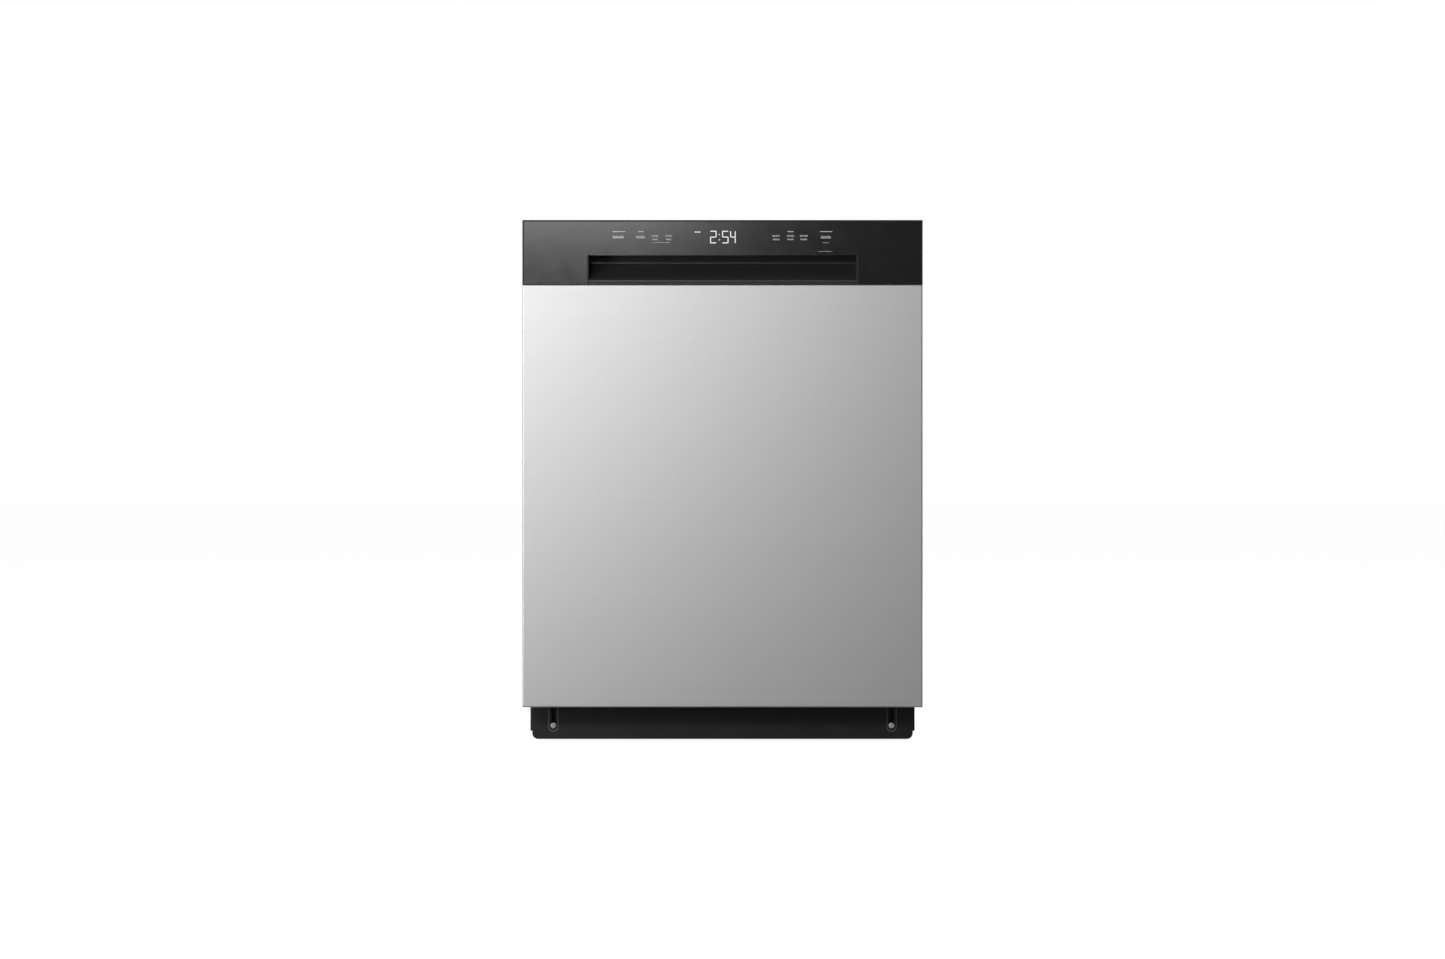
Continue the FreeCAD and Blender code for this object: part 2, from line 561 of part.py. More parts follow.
# ---- base, feet and kick ---------------------------------------------------------------------
def base_tray():
    """The moulded base as walls that meet edge to edge: floor, sides, low front, rear wall with
    the drain spigot, and four posts bored for the feet."""
    floor_top, inner = BASE_LOW + BASE_WALL, BASE_HALF - BASE_WALL
    back = BASE_REAR - BASE_WALL
    spots = [(s * FOOT_X, y) for s in (-1, 1) for y in (FOOT_FRONT_Y, FOOT_REAR_Y)]
    bores = [cylinder(FOOT_STEM_R + RUNNING, 103, (x, y, BASE_LOW - 1), Z_AXIS) for x, y in spots]
    posts = [box(x - 14, x + 14, y - 14, y + 14, floor_top, TUB_FLOOR - 0.2) for x, y in spots]
    floor = box(-BASE_HALF, BASE_HALF, BASE_FRONT, BASE_REAR, BASE_LOW, floor_top)
    front = box(-inner, inner, BASE_FRONT, BASE_FRONT + BASE_WALL, floor_top, 40)
    front = cut(front, *[cylinder(1.6, 12, (s * KICK_SCREW_X, BASE_FRONT - 1, KICK_SCREW_Z), Y_AXIS)
                         for s in (-1, 1)])
    rear = cut(box(-inner, inner, back, BASE_REAR, floor_top, BASE_HIGH),
               cylinder(13.6, 8, (-215, back - 1, 52), Y_AXIS),
               cylinder(10, 8, (DRAIN_OUT_X, back - 1, 52), Y_AXIS),
               cylinder(11.2, 8, (110, back - 1, 54), Y_AXIS))
    root = cylinder(10, BASE_REAR - back + 13, (DRAIN_OUT_X, back - 13, 52), Y_AXIS)
    neck = cylinder(9.2, 1.5, (DRAIN_OUT_X, BASE_REAR, 52), Y_AXIS)
    end = cylinder(10, REAR - BASE_REAR - 1.5, (DRAIN_OUT_X, BASE_REAR + 1.5, 52), Y_AXIS)
    spigot = cut(fuse(root, neck, end), cylinder(7, 40, (DRAIN_OUT_X, back - 14, 52), Y_AXIS))
    sides = both_sides(box(inner, BASE_HALF, BASE_FRONT, BASE_REAR, floor_top, BASE_HIGH))
    return [cut(floor, *bores), front, rear, spigot] + sides + [cut(p, *bores) for p in posts]


def foot(x, y):
    """A levelling foot: pad, hex collar and threaded stem."""
    pad = cylinder(17, 5, (x, y, 0), Z_AXIS)
    collar_points = [(x + 10 * math.cos(math.radians(60 * i)), y + 10 * math.sin(math.radians(60 * i)))
                     for i in range(6)]
    collar = extrude_z(collar_points, 5, BASE_LOW - 0.1)
    stem = cylinder(FOOT_STEM_R, 100, (x, y, 5), Z_AXIS)
    return [fuse(pad, collar, stem)]


def inner_kick_panel():
    """The steel access panel behind the kick plate, which closes the base's front."""
    panel = box(-286, 286, BASE_FRONT - 1.6, BASE_FRONT - 0.1, 20, 100)
    ribs = [box(x - 60, x + 60, BASE_FRONT - 3.2, BASE_FRONT - 1.6, 50, 54) for x in (-150, 0, 150)]
    holes = [cylinder(1.6, 8, (s * KICK_SCREW_X, BASE_FRONT - 5, KICK_SCREW_Z), Y_AXIS)
             for s in (-1, 1)]
    return [cut(fuse(panel, *ribs), *holes)]


def kick_plate():
    """The black kick plate: rounded bottom corners and two slots with raised rims."""
    back = KICK_FACE + KICK_SHEET
    plate = box(-KICK_HALF, KICK_HALF, KICK_FACE, back, KICK_LOW, KICK_HIGH)
    plate = round_edges(plate, 9, lambda m, d: abs(d.y) > 0.9 and m.z < 20)
    lip = box(-KICK_HALF + 4, KICK_HALF - 4, back, back + 7, KICK_HIGH - 1.5, KICK_HIGH)
    low, high = KICK_SCREW_Z - 1.7, KICK_SCREW_Z + KICK_TRAVEL + 2
    rims, slots = [], []
    for side in (-1, 1):
        x = side * KICK_SCREW_X
        rims.append(cut(obround(7.7, low, high - 2, x, KICK_FACE - 0.8, KICK_FACE),
                        obround(6.5, low, high - 2, x, KICK_FACE - 1, KICK_FACE + 1)))
        slots.append(obround(SLOT_R, low, high, x, KICK_FACE - 2, back + 1))
    pads = [box(-199, -154, KICK_FACE - 0.7, KICK_FACE, 47.5, KICK_HIGH - 8),
            box(-152, -5, KICK_FACE - 0.7, KICK_FACE, 47.5, KICK_HIGH - 8)]
    return [cut(fuse(plate, lip, *(rims + pads)), *slots)]


def kick_screws():
    """The two pan-head screws in the kick plate's slots, each with a cross recess."""
    pieces = []
    for side in (-1, 1):
        x, z = side * KICK_SCREW_X, KICK_SCREW_Z
        head = cylinder(4.4, 2.4, (x, KICK_FACE - 2.45, z), Y_AXIS)
        head = head.makeFillet(1.6, [e for e in head.Edges if e.BoundBox.YMax < KICK_FACE - 2.3])
        shank = cylinder(2.4, 10.6, (x, KICK_FACE - 0.05, z), Y_AXIS)
        point = cylinder(1.5, 9, (x, KICK_FACE + 10.55, z), Y_AXIS)
        cross = [box(x - 2.6, x + 2.6, KICK_FACE - 4, KICK_FACE - 1.4, z - 0.5, z + 0.5),
                 box(x - 0.5, x + 0.5, KICK_FACE - 4, KICK_FACE - 1.4, z - 2.6, z + 2.6)]
        pieces.append(cut(fuse(head, shank, point), *cross))
    return pieces


# ---- hinges --------------------------------------------------------------------------------
def hinge_brackets():
    """Steel plates on the base's side walls that carry the pivot pins under the door."""
    y, z = HINGE_Y, HINGE_Z
    reach = [(y, z - 8), (y + 18, z - 2), (y + 36, z + 6), (y + 60, z + 6), (y + 66, z - 40),
             (y + 140, z - 40), (y + 140, z + 16), (y + 20, z + 16), (y, z + 8)]
    plate = extrude_x(reach, 290, 293 - 0.1)
    boss = cylinder(8, 2.9, (290, y, z), X_AXIS)
    pin = cylinder(4, 6.6, (284, y, z), X_AXIS)
    head = cylinder(5.5, 1.5, (282.5, y, z), X_AXIS)
    return both_sides(fuse(plate, boss, pin, head))


def hinge_arms():
    """The door's hinge arms: an eye on the pin, a tail for the spring, and a long leaf."""
    y, z = HINGE_Y, HINGE_Z
    leaf = extrude_x([(y - 6, z), (y + 6, z), (y + 14, z + 30), (y + 26, z + 60),
                      (y + 26, z + 230), (y + 4, z + 230), (y + 4, z + 60), (y - 6, z + 20)],
                     286.5, 289.5)
    eye = cylinder(9, 3, (286.5, y, z), X_AXIS)
    tail = extrude_x([(y, z + 7), (y + 4, z - 7), (y + 24, z + 5), (y + 22, z + 15)], 286.5, 289.5)
    bore = cylinder(4 + RUNNING, 5, (285.5, y, z), X_AXIS)
    hook_hole = cylinder(2, 5, (285.5, y + 19, z + 9.4), X_AXIS)
    return both_sides(cut(fuse(leaf, eye, tail), bore, hook_hole))


def door_springs():
    """The counterbalance springs along the base's sides, as sleeves with straight end wires."""
    y, z, x = HINGE_Y + 19, HINGE_Z + 9.4, 279.0
    sleeve = tube(6.5, 4.6, 150, (x, y + 46, z), Y_AXIS)
    caps = [tube(6.5, 1.2, 1.5, (x, y + 44.5, z), Y_AXIS), tube(6.5, 1.2, 1.5, (x, y + 196, z), Y_AXIS)]
    front = rod([(x, y + 46, z), (x, y, z), (290, y, z)], 1.2, 4)
    back = rod([(x, y + 196, z), (x, y + 215, z), (292.9, y + 215, z)], 1.2, 4)
    return both_sides(fuse(sleeve, *(caps + front + back)))


# ---- door ----------------------------------------------------------------------------------
def door_outer_panel():
    """The stainless door skin: a shallow pan with returned sides and short top and foot."""
    half, top = WIDTH / 2, FASCIA_BOTTOM - 0.4
    block = box(-half, half, FRONT, FRONT + DOOR_RETURN, DOOR_BOTTOM, top)
    block = round_edges(block, 2.2, lambda m, d: m.y < FRONT + 0.1)
    inside = box(-half + SHEET, half - SHEET, FRONT + SHEET, FRONT + DOOR_RETURN + 1,
                 DOOR_BOTTOM + SHEET, top - SHEET)
    inside = round_edges(inside, 1.3, lambda m, d: m.y < FRONT + SHEET + 0.1)
    short = box(-half + SHEET, half - SHEET, FRONT + 15, FRONT + DOOR_RETURN + 1,
                DOOR_BOTTOM - 1, DOOR_BOTTOM + SHEET + 1)
    upper = box(-half + SHEET, half - SHEET, FRONT + 15, FRONT + DOOR_RETURN + 1,
                top - SHEET - 1, top + 1)
    holes = [cylinder(3.3, WIDTH + 10, (-half - 5, SCREW_Y, z), X_AXIS) for z in SCREW_ZS]
    return [cut(block, inside, short, upper, *holes)]


def pocket_outline(grow):
    """The pocket's section in (y, z), grown outward: sloping sill, deep back, finger hollow."""
    centre_y, centre_z = FRONT + 18.0, POCKET_LOW + 24.0
    outline = [(FRONT + 0.4, POCKET_LOW), (FRONT + 27, POCKET_LOW + 22),
               (FRONT + 35, POCKET_LOW + 30), (FRONT + 35, POCKET_HIGH + 7),
               (FRONT + 29, POCKET_HIGH + 12), (FRONT + 11, POCKET_HIGH + 12),
               (FRONT + 6, POCKET_HIGH + 8), (FRONT + 6, POCKET_HIGH),
               (FRONT + 0.4, POCKET_HIGH)]
    return [(y + math.copysign(grow, y - centre_y), z + math.copysign(grow, z - centre_z))
            for y, z in outline]


def control_fascia():
    """The control panel moulding: face, sides and top, with the handle's opening."""
    half, wall, back = WIDTH / 2, 2.6, FRONT + DOOR_RETURN
    block = box(-half, half, FRONT, back, FASCIA_BOTTOM, HEIGHT)
    block = round_edges(block, 1.2, lambda m, d: m.y < FRONT + 0.1)
    face = box(-half + 2.4, half - 2.4, FRONT - 1, FRONT + 0.4, FASCIA_BOTTOM - 1, HEIGHT - 2.4)
    inside = box(-half + wall, half - wall, FRONT + wall, back + 1,
                 FASCIA_BOTTOM + 1.6, HEIGHT - wall)
    opening = box(-POCKET_HALF, POCKET_HALF, FRONT - 1, FRONT + wall + 1,
                  POCKET_LOW, POCKET_HIGH)
    return [cut(block, face, inside, opening)]


def handle_cup():
    """The black cup behind the fascia's opening, which the fingers hook into."""
    wall = 2.2
    outer = [(max(y, FRONT + 2.7), z) for y, z in pocket_outline(wall)]
    solid = extrude_x(outer, -POCKET_HALF - wall, POCKET_HALF + wall)
    hollow = extrude_x(pocket_outline(0), -POCKET_HALF, POCKET_HALF)
    floor_trim = box(-POCKET_HALF - 5, POCKET_HALF + 5, FRONT, FRONT + 60,
                     FASCIA_BOTTOM - 10, FASCIA_BOTTOM + 1.7)
    return [cut(solid, hollow, floor_trim)]


def display_board():
    """The touch and display board behind the fascia's face, in a clip-in carrier."""
    y = FRONT + 2.9
    board = box(-150, 110, y + 2, y + 3.6, 754, 786)
    carrier = cut(box(-156, 116, y, y + 12, 753, 789), box(-152, 112, y - 1, y + 9, 753.6, 787))
    module = box(-30, 20, y + 0.2, y + 2, 764, 782)
    chips = [box(x, x + 12, y + 3.6, y + 5.6, 762, 774) for x in (-120, -60, 40, 80)]
    return [carrier, fuse(board, module, *chips)]


def door_liner():
    """The stainless inner door: a pan that slips inside the skin, embossed and pierced."""
    front = FRONT + 14
    block = box(-LINER_HALF, LINER_HALF, front, LINER_FACE, LINER_BOTTOM, LINER_TOP)
    block = round_edges(block, 3, lambda m, d: m.y > LINER_FACE - 0.1)
    inside = box(-LINER_HALF + SHEET, LINER_HALF - SHEET, front - 1, LINER_FACE - SHEET,
                 LINER_BOTTOM + SHEET, LINER_TOP - SHEET)
    inside = round_edges(inside, 2.1, lambda m, d: m.y > LINER_FACE - SHEET - 0.1)
    pan = cut(block, inside)
    swage = cut(box(-SWAGE, SWAGE, LINER_FACE - SHEET, LINER_FACE + 3, 170, 730),
                box(-SWAGE + SHEET, SWAGE - SHEET, LINER_FACE - SHEET - 1, LINER_FACE + 3 - SHEET,
                    170 + SHEET, 730 - SHEET))
    through = box(-SWAGE + SHEET, SWAGE - SHEET, LINER_FACE - SHEET - 1, LINER_FACE + 1,
                  170 + SHEET, 730 - SHEET)
    pan = fuse(cut(pan, through), swage)
    dispenser = box(-112, 76, LINER_FACE - 5, LINER_FACE + 5, 402, 522)
    latch_slot = box(-18, 18, LINER_FACE - 5, LINER_FACE + 5, 771, 785)
    arm_slots = both_sides(box(284, 291.5, HINGE_Y - 8, HINGE_Y + 30, LINER_BOTTOM - 1,
                               LINER_BOTTOM + 3))
    fascia_room = [box(-LINER_HALF - 1, -LINER_HALF + 20, front - 1, FRONT + DOOR_RETURN + 0.3,
                       FASCIA_BOTTOM - 2, LINER_TOP + 1),
                   box(LINER_HALF - 20, LINER_HALF + 1, front - 1, FRONT + DOOR_RETURN + 0.3,
                       FASCIA_BOTTOM - 2, LINER_TOP + 1),
                   box(-LINER_HALF - 1, LINER_HALF + 1, front - 1, FRONT + DOOR_RETURN + 0.3,
                       LINER_TOP - 5, LINER_TOP + 1)]
    holes = [cylinder(1.5, 2 * LINER_HALF + 10, (-LINER_HALF - 5, SCREW_Y, z), X_AXIS)
             for z in SCREW_ZS]
    return [cut(pan, dispenser, latch_slot, *(arm_slots + fascia_room + holes))]


def door_insulation():
    """The sound mat inside the door skin."""
    mat = box(-278, 278, FRONT + 1.4, FRONT + 11, 120, 688)
    return [mat]


def door_bottom_seal():
    """The rubber wiper along the liner's lower edge."""
    half = LEDGE_INNER - 2
    strip = box(-half, half, LINER_FACE, LINER_FACE + 2.2, LINER_BOTTOM + 5, LINER_BOTTOM + 19)
    blade = box(-half, half, LINER_FACE + 2.2, LINER_FACE + 5.4, LINER_BOTTOM + 6,
                LINER_BOTTOM + 9)
    return [fuse(strip, blade)]


def door_screws():
    """The screws through the skin's sides into the liner, three a side."""
    pieces = []
    for z in SCREW_ZS:
        head = cylinder(3.25, 1.8, (WIDTH / 2 - 1.9, SCREW_Y, z), X_AXIS)
        shank = cylinder(1.45, 6, (WIDTH / 2 - 7.9, SCREW_Y, z), X_AXIS)
        socket = cylinder(1.1, 1.2, (WIDTH / 2 - 1.1, SCREW_Y, z), X_AXIS)
        pieces += both_sides(cut(fuse(head, shank), socket))
    return pieces


def dispenser_body():
    """The detergent and rinse-aid dispenser: face, cup, tank, cap well and the lid's guides."""
    back, face = FRONT + 18, LINER_FACE + 5.6
    plate = box(-118, 82, LINER_FACE + 3.05, face, 396, 528)
    plate = round_edges(plate, 8, lambda m, d: abs(d.y) > 0.9)
    tank = box(-110, 74, back, LINER_FACE + 3.05, 404, 520)
    cup = box(-4, 72, face - 32, face + 1, 420, 504)
    cup = round_edges(cup, 6, lambda m, d: abs(d.y) > 0.9)
    well = cylinder(21, 16, (-72, face - 15, 462), Y_AXIS)
    guides = []
    for low, lip_low in ((509.0, 504.0), (410.0, 410.0)):
        guides.append(box(-66, 80, face, face + 4.4, low, low + 5))
        guides.append(box(-66, 80, face + 2.9, face + 4.4, lip_low, lip_low + 10))
    return [cut(fuse(plate, tank, *guides), cup, well)]


def dispenser_lid():
    """The sliding lid over the detergent cup, with its finger rib."""
    face = LINER_FACE + 5.6
    lid = box(-8, 76, face + 0.3, face + 2.6, 415.3, 508.7)
    rib = box(-2, 2, face + 2.6, face + 5, 440, 484)
    return [fuse(lid, rib)]


def rinse_aid_cap():
    """The quarter-turn cap of the rinse-aid tank, sunk below the lid's path."""
    face = LINER_FACE + 5.6
    disc = cylinder(20, 7, (-72, face - 14, 462), Y_AXIS)
    grip = box(-88, -56, face - 7, face - 1.5, 459.5, 464.5)
    return [fuse(disc, grip)]


def latch_housing():
    """The latch's case inside the top of the door, with the hook's pivot holes."""
    case = box(-34, 34, FRONT + 29, LINER_FACE - 1.2, 757, 787)
    hollow = box(-15, 15, FRONT + 31, LINER_FACE + 1, 759, 788)
    pivot = cylinder(1.6 + RUNNING, 46, (-23, LATCH_Y, LATCH_Z), X_AXIS)
    return [cut(case, hollow, pivot)]


def latch_hook():
    """The latch's hook on its cross pin, at rest lowered clear of the strike."""
    y, z = LATCH_Y, LATCH_Z
    eye = cylinder(3.4, 12, (-6, y, z), X_AXIS)
    stem = box(-5, 5, y, y + 18.5, z - 1.5, z + 1.5)
    prong = box(-5, 5, y + 15, y + 18.5, z - 1.5, z + 6)
    pin = cylinder(1.6, 44, (-22, y, z), X_AXIS)
    return [fuse(eye, stem, prong, pin)]


# ---- racks ---------------------------------------------------------------------------------
def basket(size, u_ys, u_xs, bands, tine_xs, tine_ys, tine_top):
    """A wire basket: crosswise and lengthwise U-wires, round bands and standing tines."""
    half, front, back = size["half"], size["front"], size["back"]
    floor, rim = size["floor"], size["rim"]
    pitch = 2 * WIRE_R + TOUCH
    pieces = []
    for y in u_ys:
        pieces += rod([(-half, y, rim), (-half, y, floor), (half, y, floor), (half, y, rim)],
                      WIRE_R, 12)
    for x in u_xs:
        z = floor + pitch
        pieces += rod([(x, front, rim), (x, front, z), (x, back, z), (x, back, rim)], WIRE_R, 12)
    for z in bands:
        pieces += loop(half + pitch, front - pitch, back + pitch, z, WIRE_R, 22)
    foot_z = floor + pitch + WIRE_R + TOUCH
    for x in tine_xs:
        for y in tine_ys:
            pieces.append(cylinder(TINE_R, tine_top - foot_z, (x, y, foot_z), Z_AXIS))
    return pieces


def lower_rack():
    """The lower basket with its wheel studs and the folding tines' clips."""
    u_ys, u_xs = spread(-200, 224, 9), spread(-220, 220, 9)
    pieces = basket(LOWER, u_ys, u_xs, (LOWER["rim"] - 3, 232), (-220, -55, 0, 55, 110),
                    spread(-176, 200, 9), 256)
    carrier_inner = LOWER["half"] + 3 * WIRE_R + 3 * TOUCH
    for y in LOWER_WHEEL_YS:
        plate = box(carrier_inner, carrier_inner + 2.4, y - 30, y + 30, 152, 236)
        plate = round_edges(plate, 8, lambda m, d: abs(d.x) > 0.9)
        stud = cylinder(4, 12.6, (carrier_inner + 2.4, y, LEDGE_Z + 0.2 + WHEEL_R), X_AXIS)
        pieces += both_sides(fuse(plate, stud))
    for y in (u_ys[1], u_ys[4], u_ys[7]):
        clip = box(-141.5, -133.5, y - 4, y + 4, LOWER["floor"] + WIRE_R + TOUCH, 179)
        pieces.append(cut(clip, cylinder(2 + RUNNING, 12, (-137.5, y - 6, 175.5), Y_AXIS)))
    return pieces


def folding_tines():
    """A row of tines on one long rod, which folds outward."""
    x, z = -137.5, 175.5
    shaft = cylinder(2, 408, (x, -190, z), Y_AXIS)
    tines = [cylinder(TINE_R, 74, (x, y, z + 1), Z_AXIS) for y in spread(-176, 212, 9)]
    return [fuse(shaft, *tines)]


def wheel_pair(y, z, radius, inner_x, width, bore):
    """Two wheels on one axis, left and right, each with a rounded tread and a hub face."""
    wheel = cylinder(radius, width, (inner_x, y, z), X_AXIS)
    wheel = wheel.makeFillet(1.2, [e for e in wheel.Edges if len(e.Vertexes) == 1])
    face = tube(radius * 0.72, radius * 0.45, 1.5, (inner_x + width - 1.5, y, z), X_AXIS)
    hole = cylinder(bore, width + 2, (inner_x - 1, y, z), X_AXIS)
    return both_sides(cut(wheel, face, hole))


def lower_wheels(y):
    inner = LOWER["half"] + 3 * WIRE_R + 3 * TOUCH + 2.8
    return wheel_pair(y, LEDGE_Z + 0.2 + WHEEL_R, WHEEL_R, inner, 12, 4 + RUNNING)


def silverware_basket():
    """The cutlery basket: five cells with pierced walls and an arched grip."""
    x0, x1, y0, y1, z0, z1 = 150.0, 232.0, -190.0, 130.0, 172.4, 284.0
    wall, cells = 2.0, 5
    step = (y1 - y0 - wall) / cells
    hollows, windows = [], []
    for i in range(cells):
        cell_y = y0 + wall + step * i
        hollows.append(box(x0 + wall, x1 - wall, cell_y, cell_y + step - wall, z0 + wall, z1 + 1))
        for j in range(4):
            y = cell_y + 6 + 13.2 * j
            for k in range(4):
                z = z0 + 12 + 24 * k
                windows.append(box(x0 - 1, x1 + 1, y, y + 7.6, z, z + 15))
            windows.append(box(x0 + 10, x1 - 10, y, y + 7.6, z0 - 1, z0 + wall + 1))
    body = box(x0, x1, y0, y1, z0, z1)
    body = round_edges(body, 6, lambda m, d: abs(d.z) > 0.9)
    body = cut(cut(body, *hollows), *windows)
    middle_x, middle_y = (x0 + x1) / 2, (y0 + y1) / 2
    post_low = z1 - 20
    grip = fuse(box(middle_x - 6, middle_x + 6, middle_y - 62, middle_y - 58, post_low, z1 + 34),
                box(middle_x - 6, middle_x + 6, middle_y + 58, middle_y + 62, post_low, z1 + 34),
                box(middle_x - 6, middle_x + 6, middle_y - 62, middle_y + 62, z1 + 30, z1 + 36))
    rail = box(middle_x - 2, middle_x + 2, y0, y1, z1 - 20, z1)
    return [fuse(body, rail, grip)]


def upper_rack():
    """The upper basket with the cup shelf's clips."""
    pieces = basket(UPPER, spread(-200, 208, 9), spread(-210, 210, 9), (UPPER["rim"] - 3, 532),
                    (-105, -52.5, 52.5, 105), spread(-174, 182, 8), 540)
    for y in (-98, 55):
        clip = box(-UPPER["half"] + WIRE_R + TOUCH, SHELF_X + 4, y - 5, y + 5,
                   SHELF_Z - 5, SHELF_Z + 5)
        pieces.append(cut(clip, cylinder(2 + RUNNING, 12, (SHELF_X, y - 6, SHELF_Z), Y_AXIS)))
    return pieces


def upper_rack_carriers():
    """Side plates that hang the upper basket on its wheels, with height-adjuster levers."""
    inner = UPPER["half"] + 3 * WIRE_R + 3 * TOUCH
    plate = box(inner, inner + 2.4, 4, 216, 528, 592)
    plate = round_edges(plate, 10, lambda m, d: abs(d.x) > 0.9)
    studs = [cylinder(4, 16, (inner + 2.4, y, RAIL_Z), X_AXIS) for y in UPPER_WHEEL_YS]
    lever = box(inner + 2.4, inner + 6.4, 96, 124, 534, 588)
    return both_sides(fuse(plate, lever, *studs))


def upper_wheels(y):
    inner = UPPER["half"] + 3 * WIRE_R + 3 * TOUCH + 2.9
    return wheel_pair(y, RAIL_Z, UPPER_WHEEL_R, inner + 6, 11, 4 + RUNNING)


def upper_rails():
    """The C-section rails that carry the upper rack and slide in the tub's guide blocks."""
    low, high = RAIL_Z - RAIL_HALF_HEIGHT, RAIL_Z + RAIL_HALF_HEIGHT
    outer = box(RAIL_INNER, RAIL_OUTER, -236, 244, low, high)
    inner = box(RAIL_INNER - 1, RAIL_OUTER - RAIL_SHEET, -237, 245,
                low + RAIL_SHEET, high - RAIL_SHEET)
    stop = box(RAIL_INNER + 2, RAIL_OUTER - RAIL_SHEET, 238, 244,
               low + RAIL_SHEET, high - RAIL_SHEET)
    front_stop = box(RAIL_INNER + 2, RAIL_OUTER - RAIL_SHEET, -236, -230,
                     low + RAIL_SHEET, high - RAIL_SHEET)
    return both_sides(fuse(cut(outer, inner), stop, front_stop))


def cup_shelf():
    """The fold-up cup shelf on the upper rack's left side."""
    x, z, reach = SHELF_X, SHELF_Z, 76.0
    shaft = cylinder(2, 300, (x, -140, z), Y_AXIS)
    edge = cylinder(2, 268, (x + reach, -124, z), Y_AXIS)
    bars = [cylinder(TINE_R, reach, (x, y, z), X_AXIS) for y in spread(-124, 144, 9)]
    return [fuse(shaft, edge, *bars)]


PARTS = {
    "tub": tub,
    "door_gasket": door_gasket,
    "top_cross_rail": top_cross_rail,
    "countertop_brackets": countertop_brackets,
    "latch_strike": latch_strike,
    "insulation_blanket": insulation_blanket,
    "rail_glides": rail_glides,
    "feed_pipe": feed_pipe,
    "sump": sump,
    "coarse_filter": coarse_filter,
    "fine_filter": fine_filter,
    "float_dome": float_dome,
    "lower_spray_arm": lower_spray_arm,
    "middle_spray_arm": middle_spray_arm,
    "middle_manifold": middle_manifold,
    "top_spray_arm": top_spray_arm,
    "wash_pump_housing": wash_pump_housing,
    "pump_rotor": pump_rotor,
    "heater": heater,
    "drain_pump_housing": drain_pump_housing,
    "drain_impeller": drain_impeller,
    "inlet_valve": inlet_valve,
    "air_break": air_break,
    "internal_hoses": internal_hoses,
    "junction_box": junction_box,
    "base_tray": base_tray,
    "foot_front_left": lambda: foot(-FOOT_X, FOOT_FRONT_Y),
    "foot_front_right": lambda: foot(FOOT_X, FOOT_FRONT_Y),
    "foot_rear_left": lambda: foot(-FOOT_X, FOOT_REAR_Y),
    "foot_rear_right": lambda: foot(FOOT_X, FOOT_REAR_Y),
    "inner_kick_panel": inner_kick_panel,
    "kick_plate": kick_plate,
    "kick_screws": kick_screws,
    "hinge_brackets": hinge_brackets,
    "hinge_arms": hinge_arms,
    "door_springs": door_springs,
    "door_outer_panel": door_outer_panel,
    "control_fascia": control_fascia,
    "handle_cup": handle_cup,
    "display_board": display_board,
    "door_liner": door_liner,
    "door_insulation": door_insulation,
    "door_bottom_seal": door_bottom_seal,
    "door_screws": door_screws,
    "dispenser_body": dispenser_body,
    "dispenser_lid": dispenser_lid,
    "rinse_aid_cap": rinse_aid_cap,
    "latch_housing": latch_housing,
    "latch_hook": latch_hook,
    "lower_rack": lower_rack,
    "folding_tines": folding_tines,
    "lower_wheels_front": lambda: lower_wheels(LOWER_WHEEL_YS[0]),
    "lower_wheels_rear": lambda: lower_wheels(LOWER_WHEEL_YS[1]),
    "silverware_basket": silverware_basket,
    "upper_rack": upper_rack,
    "upper_rack_carriers": upper_rack_carriers,
    "upper_wheels_front": lambda: upper_wheels(UPPER_WHEEL_YS[0]),
    "upper_wheels_rear": lambda: upper_wheels(UPPER_WHEEL_YS[1]),
    "upper_rails": upper_rails,
    "cup_shelf": cup_shelf,
}


def main():
    os.makedirs("parts", exist_ok=True)
    for name, make in PARTS.items():
        solids = [s for piece in make() for s in piece.Solids]
        shape = solids[0] if len(solids) == 1 else Part.makeCompound(solids)
        if not shape.isValid():
            print("not valid:", name)
        shape.exportStep(f"parts/{name}.step")
    print(len(PARTS), "sub-parts")


main()
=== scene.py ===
"""Looks for the built-in dishwasher: materials, soft pieces, printed marks, stage and camera."""

import math

import bmesh
import bpy
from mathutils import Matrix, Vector, noise


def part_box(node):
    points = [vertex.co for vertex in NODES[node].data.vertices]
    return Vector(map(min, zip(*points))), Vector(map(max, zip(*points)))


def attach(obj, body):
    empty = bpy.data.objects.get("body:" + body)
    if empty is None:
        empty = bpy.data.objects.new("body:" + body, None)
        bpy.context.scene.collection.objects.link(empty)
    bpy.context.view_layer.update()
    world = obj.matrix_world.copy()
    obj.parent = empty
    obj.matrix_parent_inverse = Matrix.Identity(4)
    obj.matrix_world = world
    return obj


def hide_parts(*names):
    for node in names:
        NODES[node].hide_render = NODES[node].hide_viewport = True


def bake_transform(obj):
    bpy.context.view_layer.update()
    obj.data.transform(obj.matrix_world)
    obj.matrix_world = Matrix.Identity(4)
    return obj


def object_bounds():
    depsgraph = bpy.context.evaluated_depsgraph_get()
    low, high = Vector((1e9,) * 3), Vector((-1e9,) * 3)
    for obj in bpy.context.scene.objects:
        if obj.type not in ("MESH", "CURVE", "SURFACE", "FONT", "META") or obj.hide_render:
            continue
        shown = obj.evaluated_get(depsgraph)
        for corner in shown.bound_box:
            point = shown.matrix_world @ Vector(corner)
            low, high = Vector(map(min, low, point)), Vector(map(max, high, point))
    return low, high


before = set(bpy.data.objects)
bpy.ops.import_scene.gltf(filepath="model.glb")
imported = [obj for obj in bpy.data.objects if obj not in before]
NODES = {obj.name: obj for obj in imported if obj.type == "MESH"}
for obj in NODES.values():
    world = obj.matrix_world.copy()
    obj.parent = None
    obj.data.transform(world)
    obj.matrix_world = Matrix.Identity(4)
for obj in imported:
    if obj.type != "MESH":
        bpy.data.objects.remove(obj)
cad_box = [list(corner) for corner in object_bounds()]
MM = 0.001
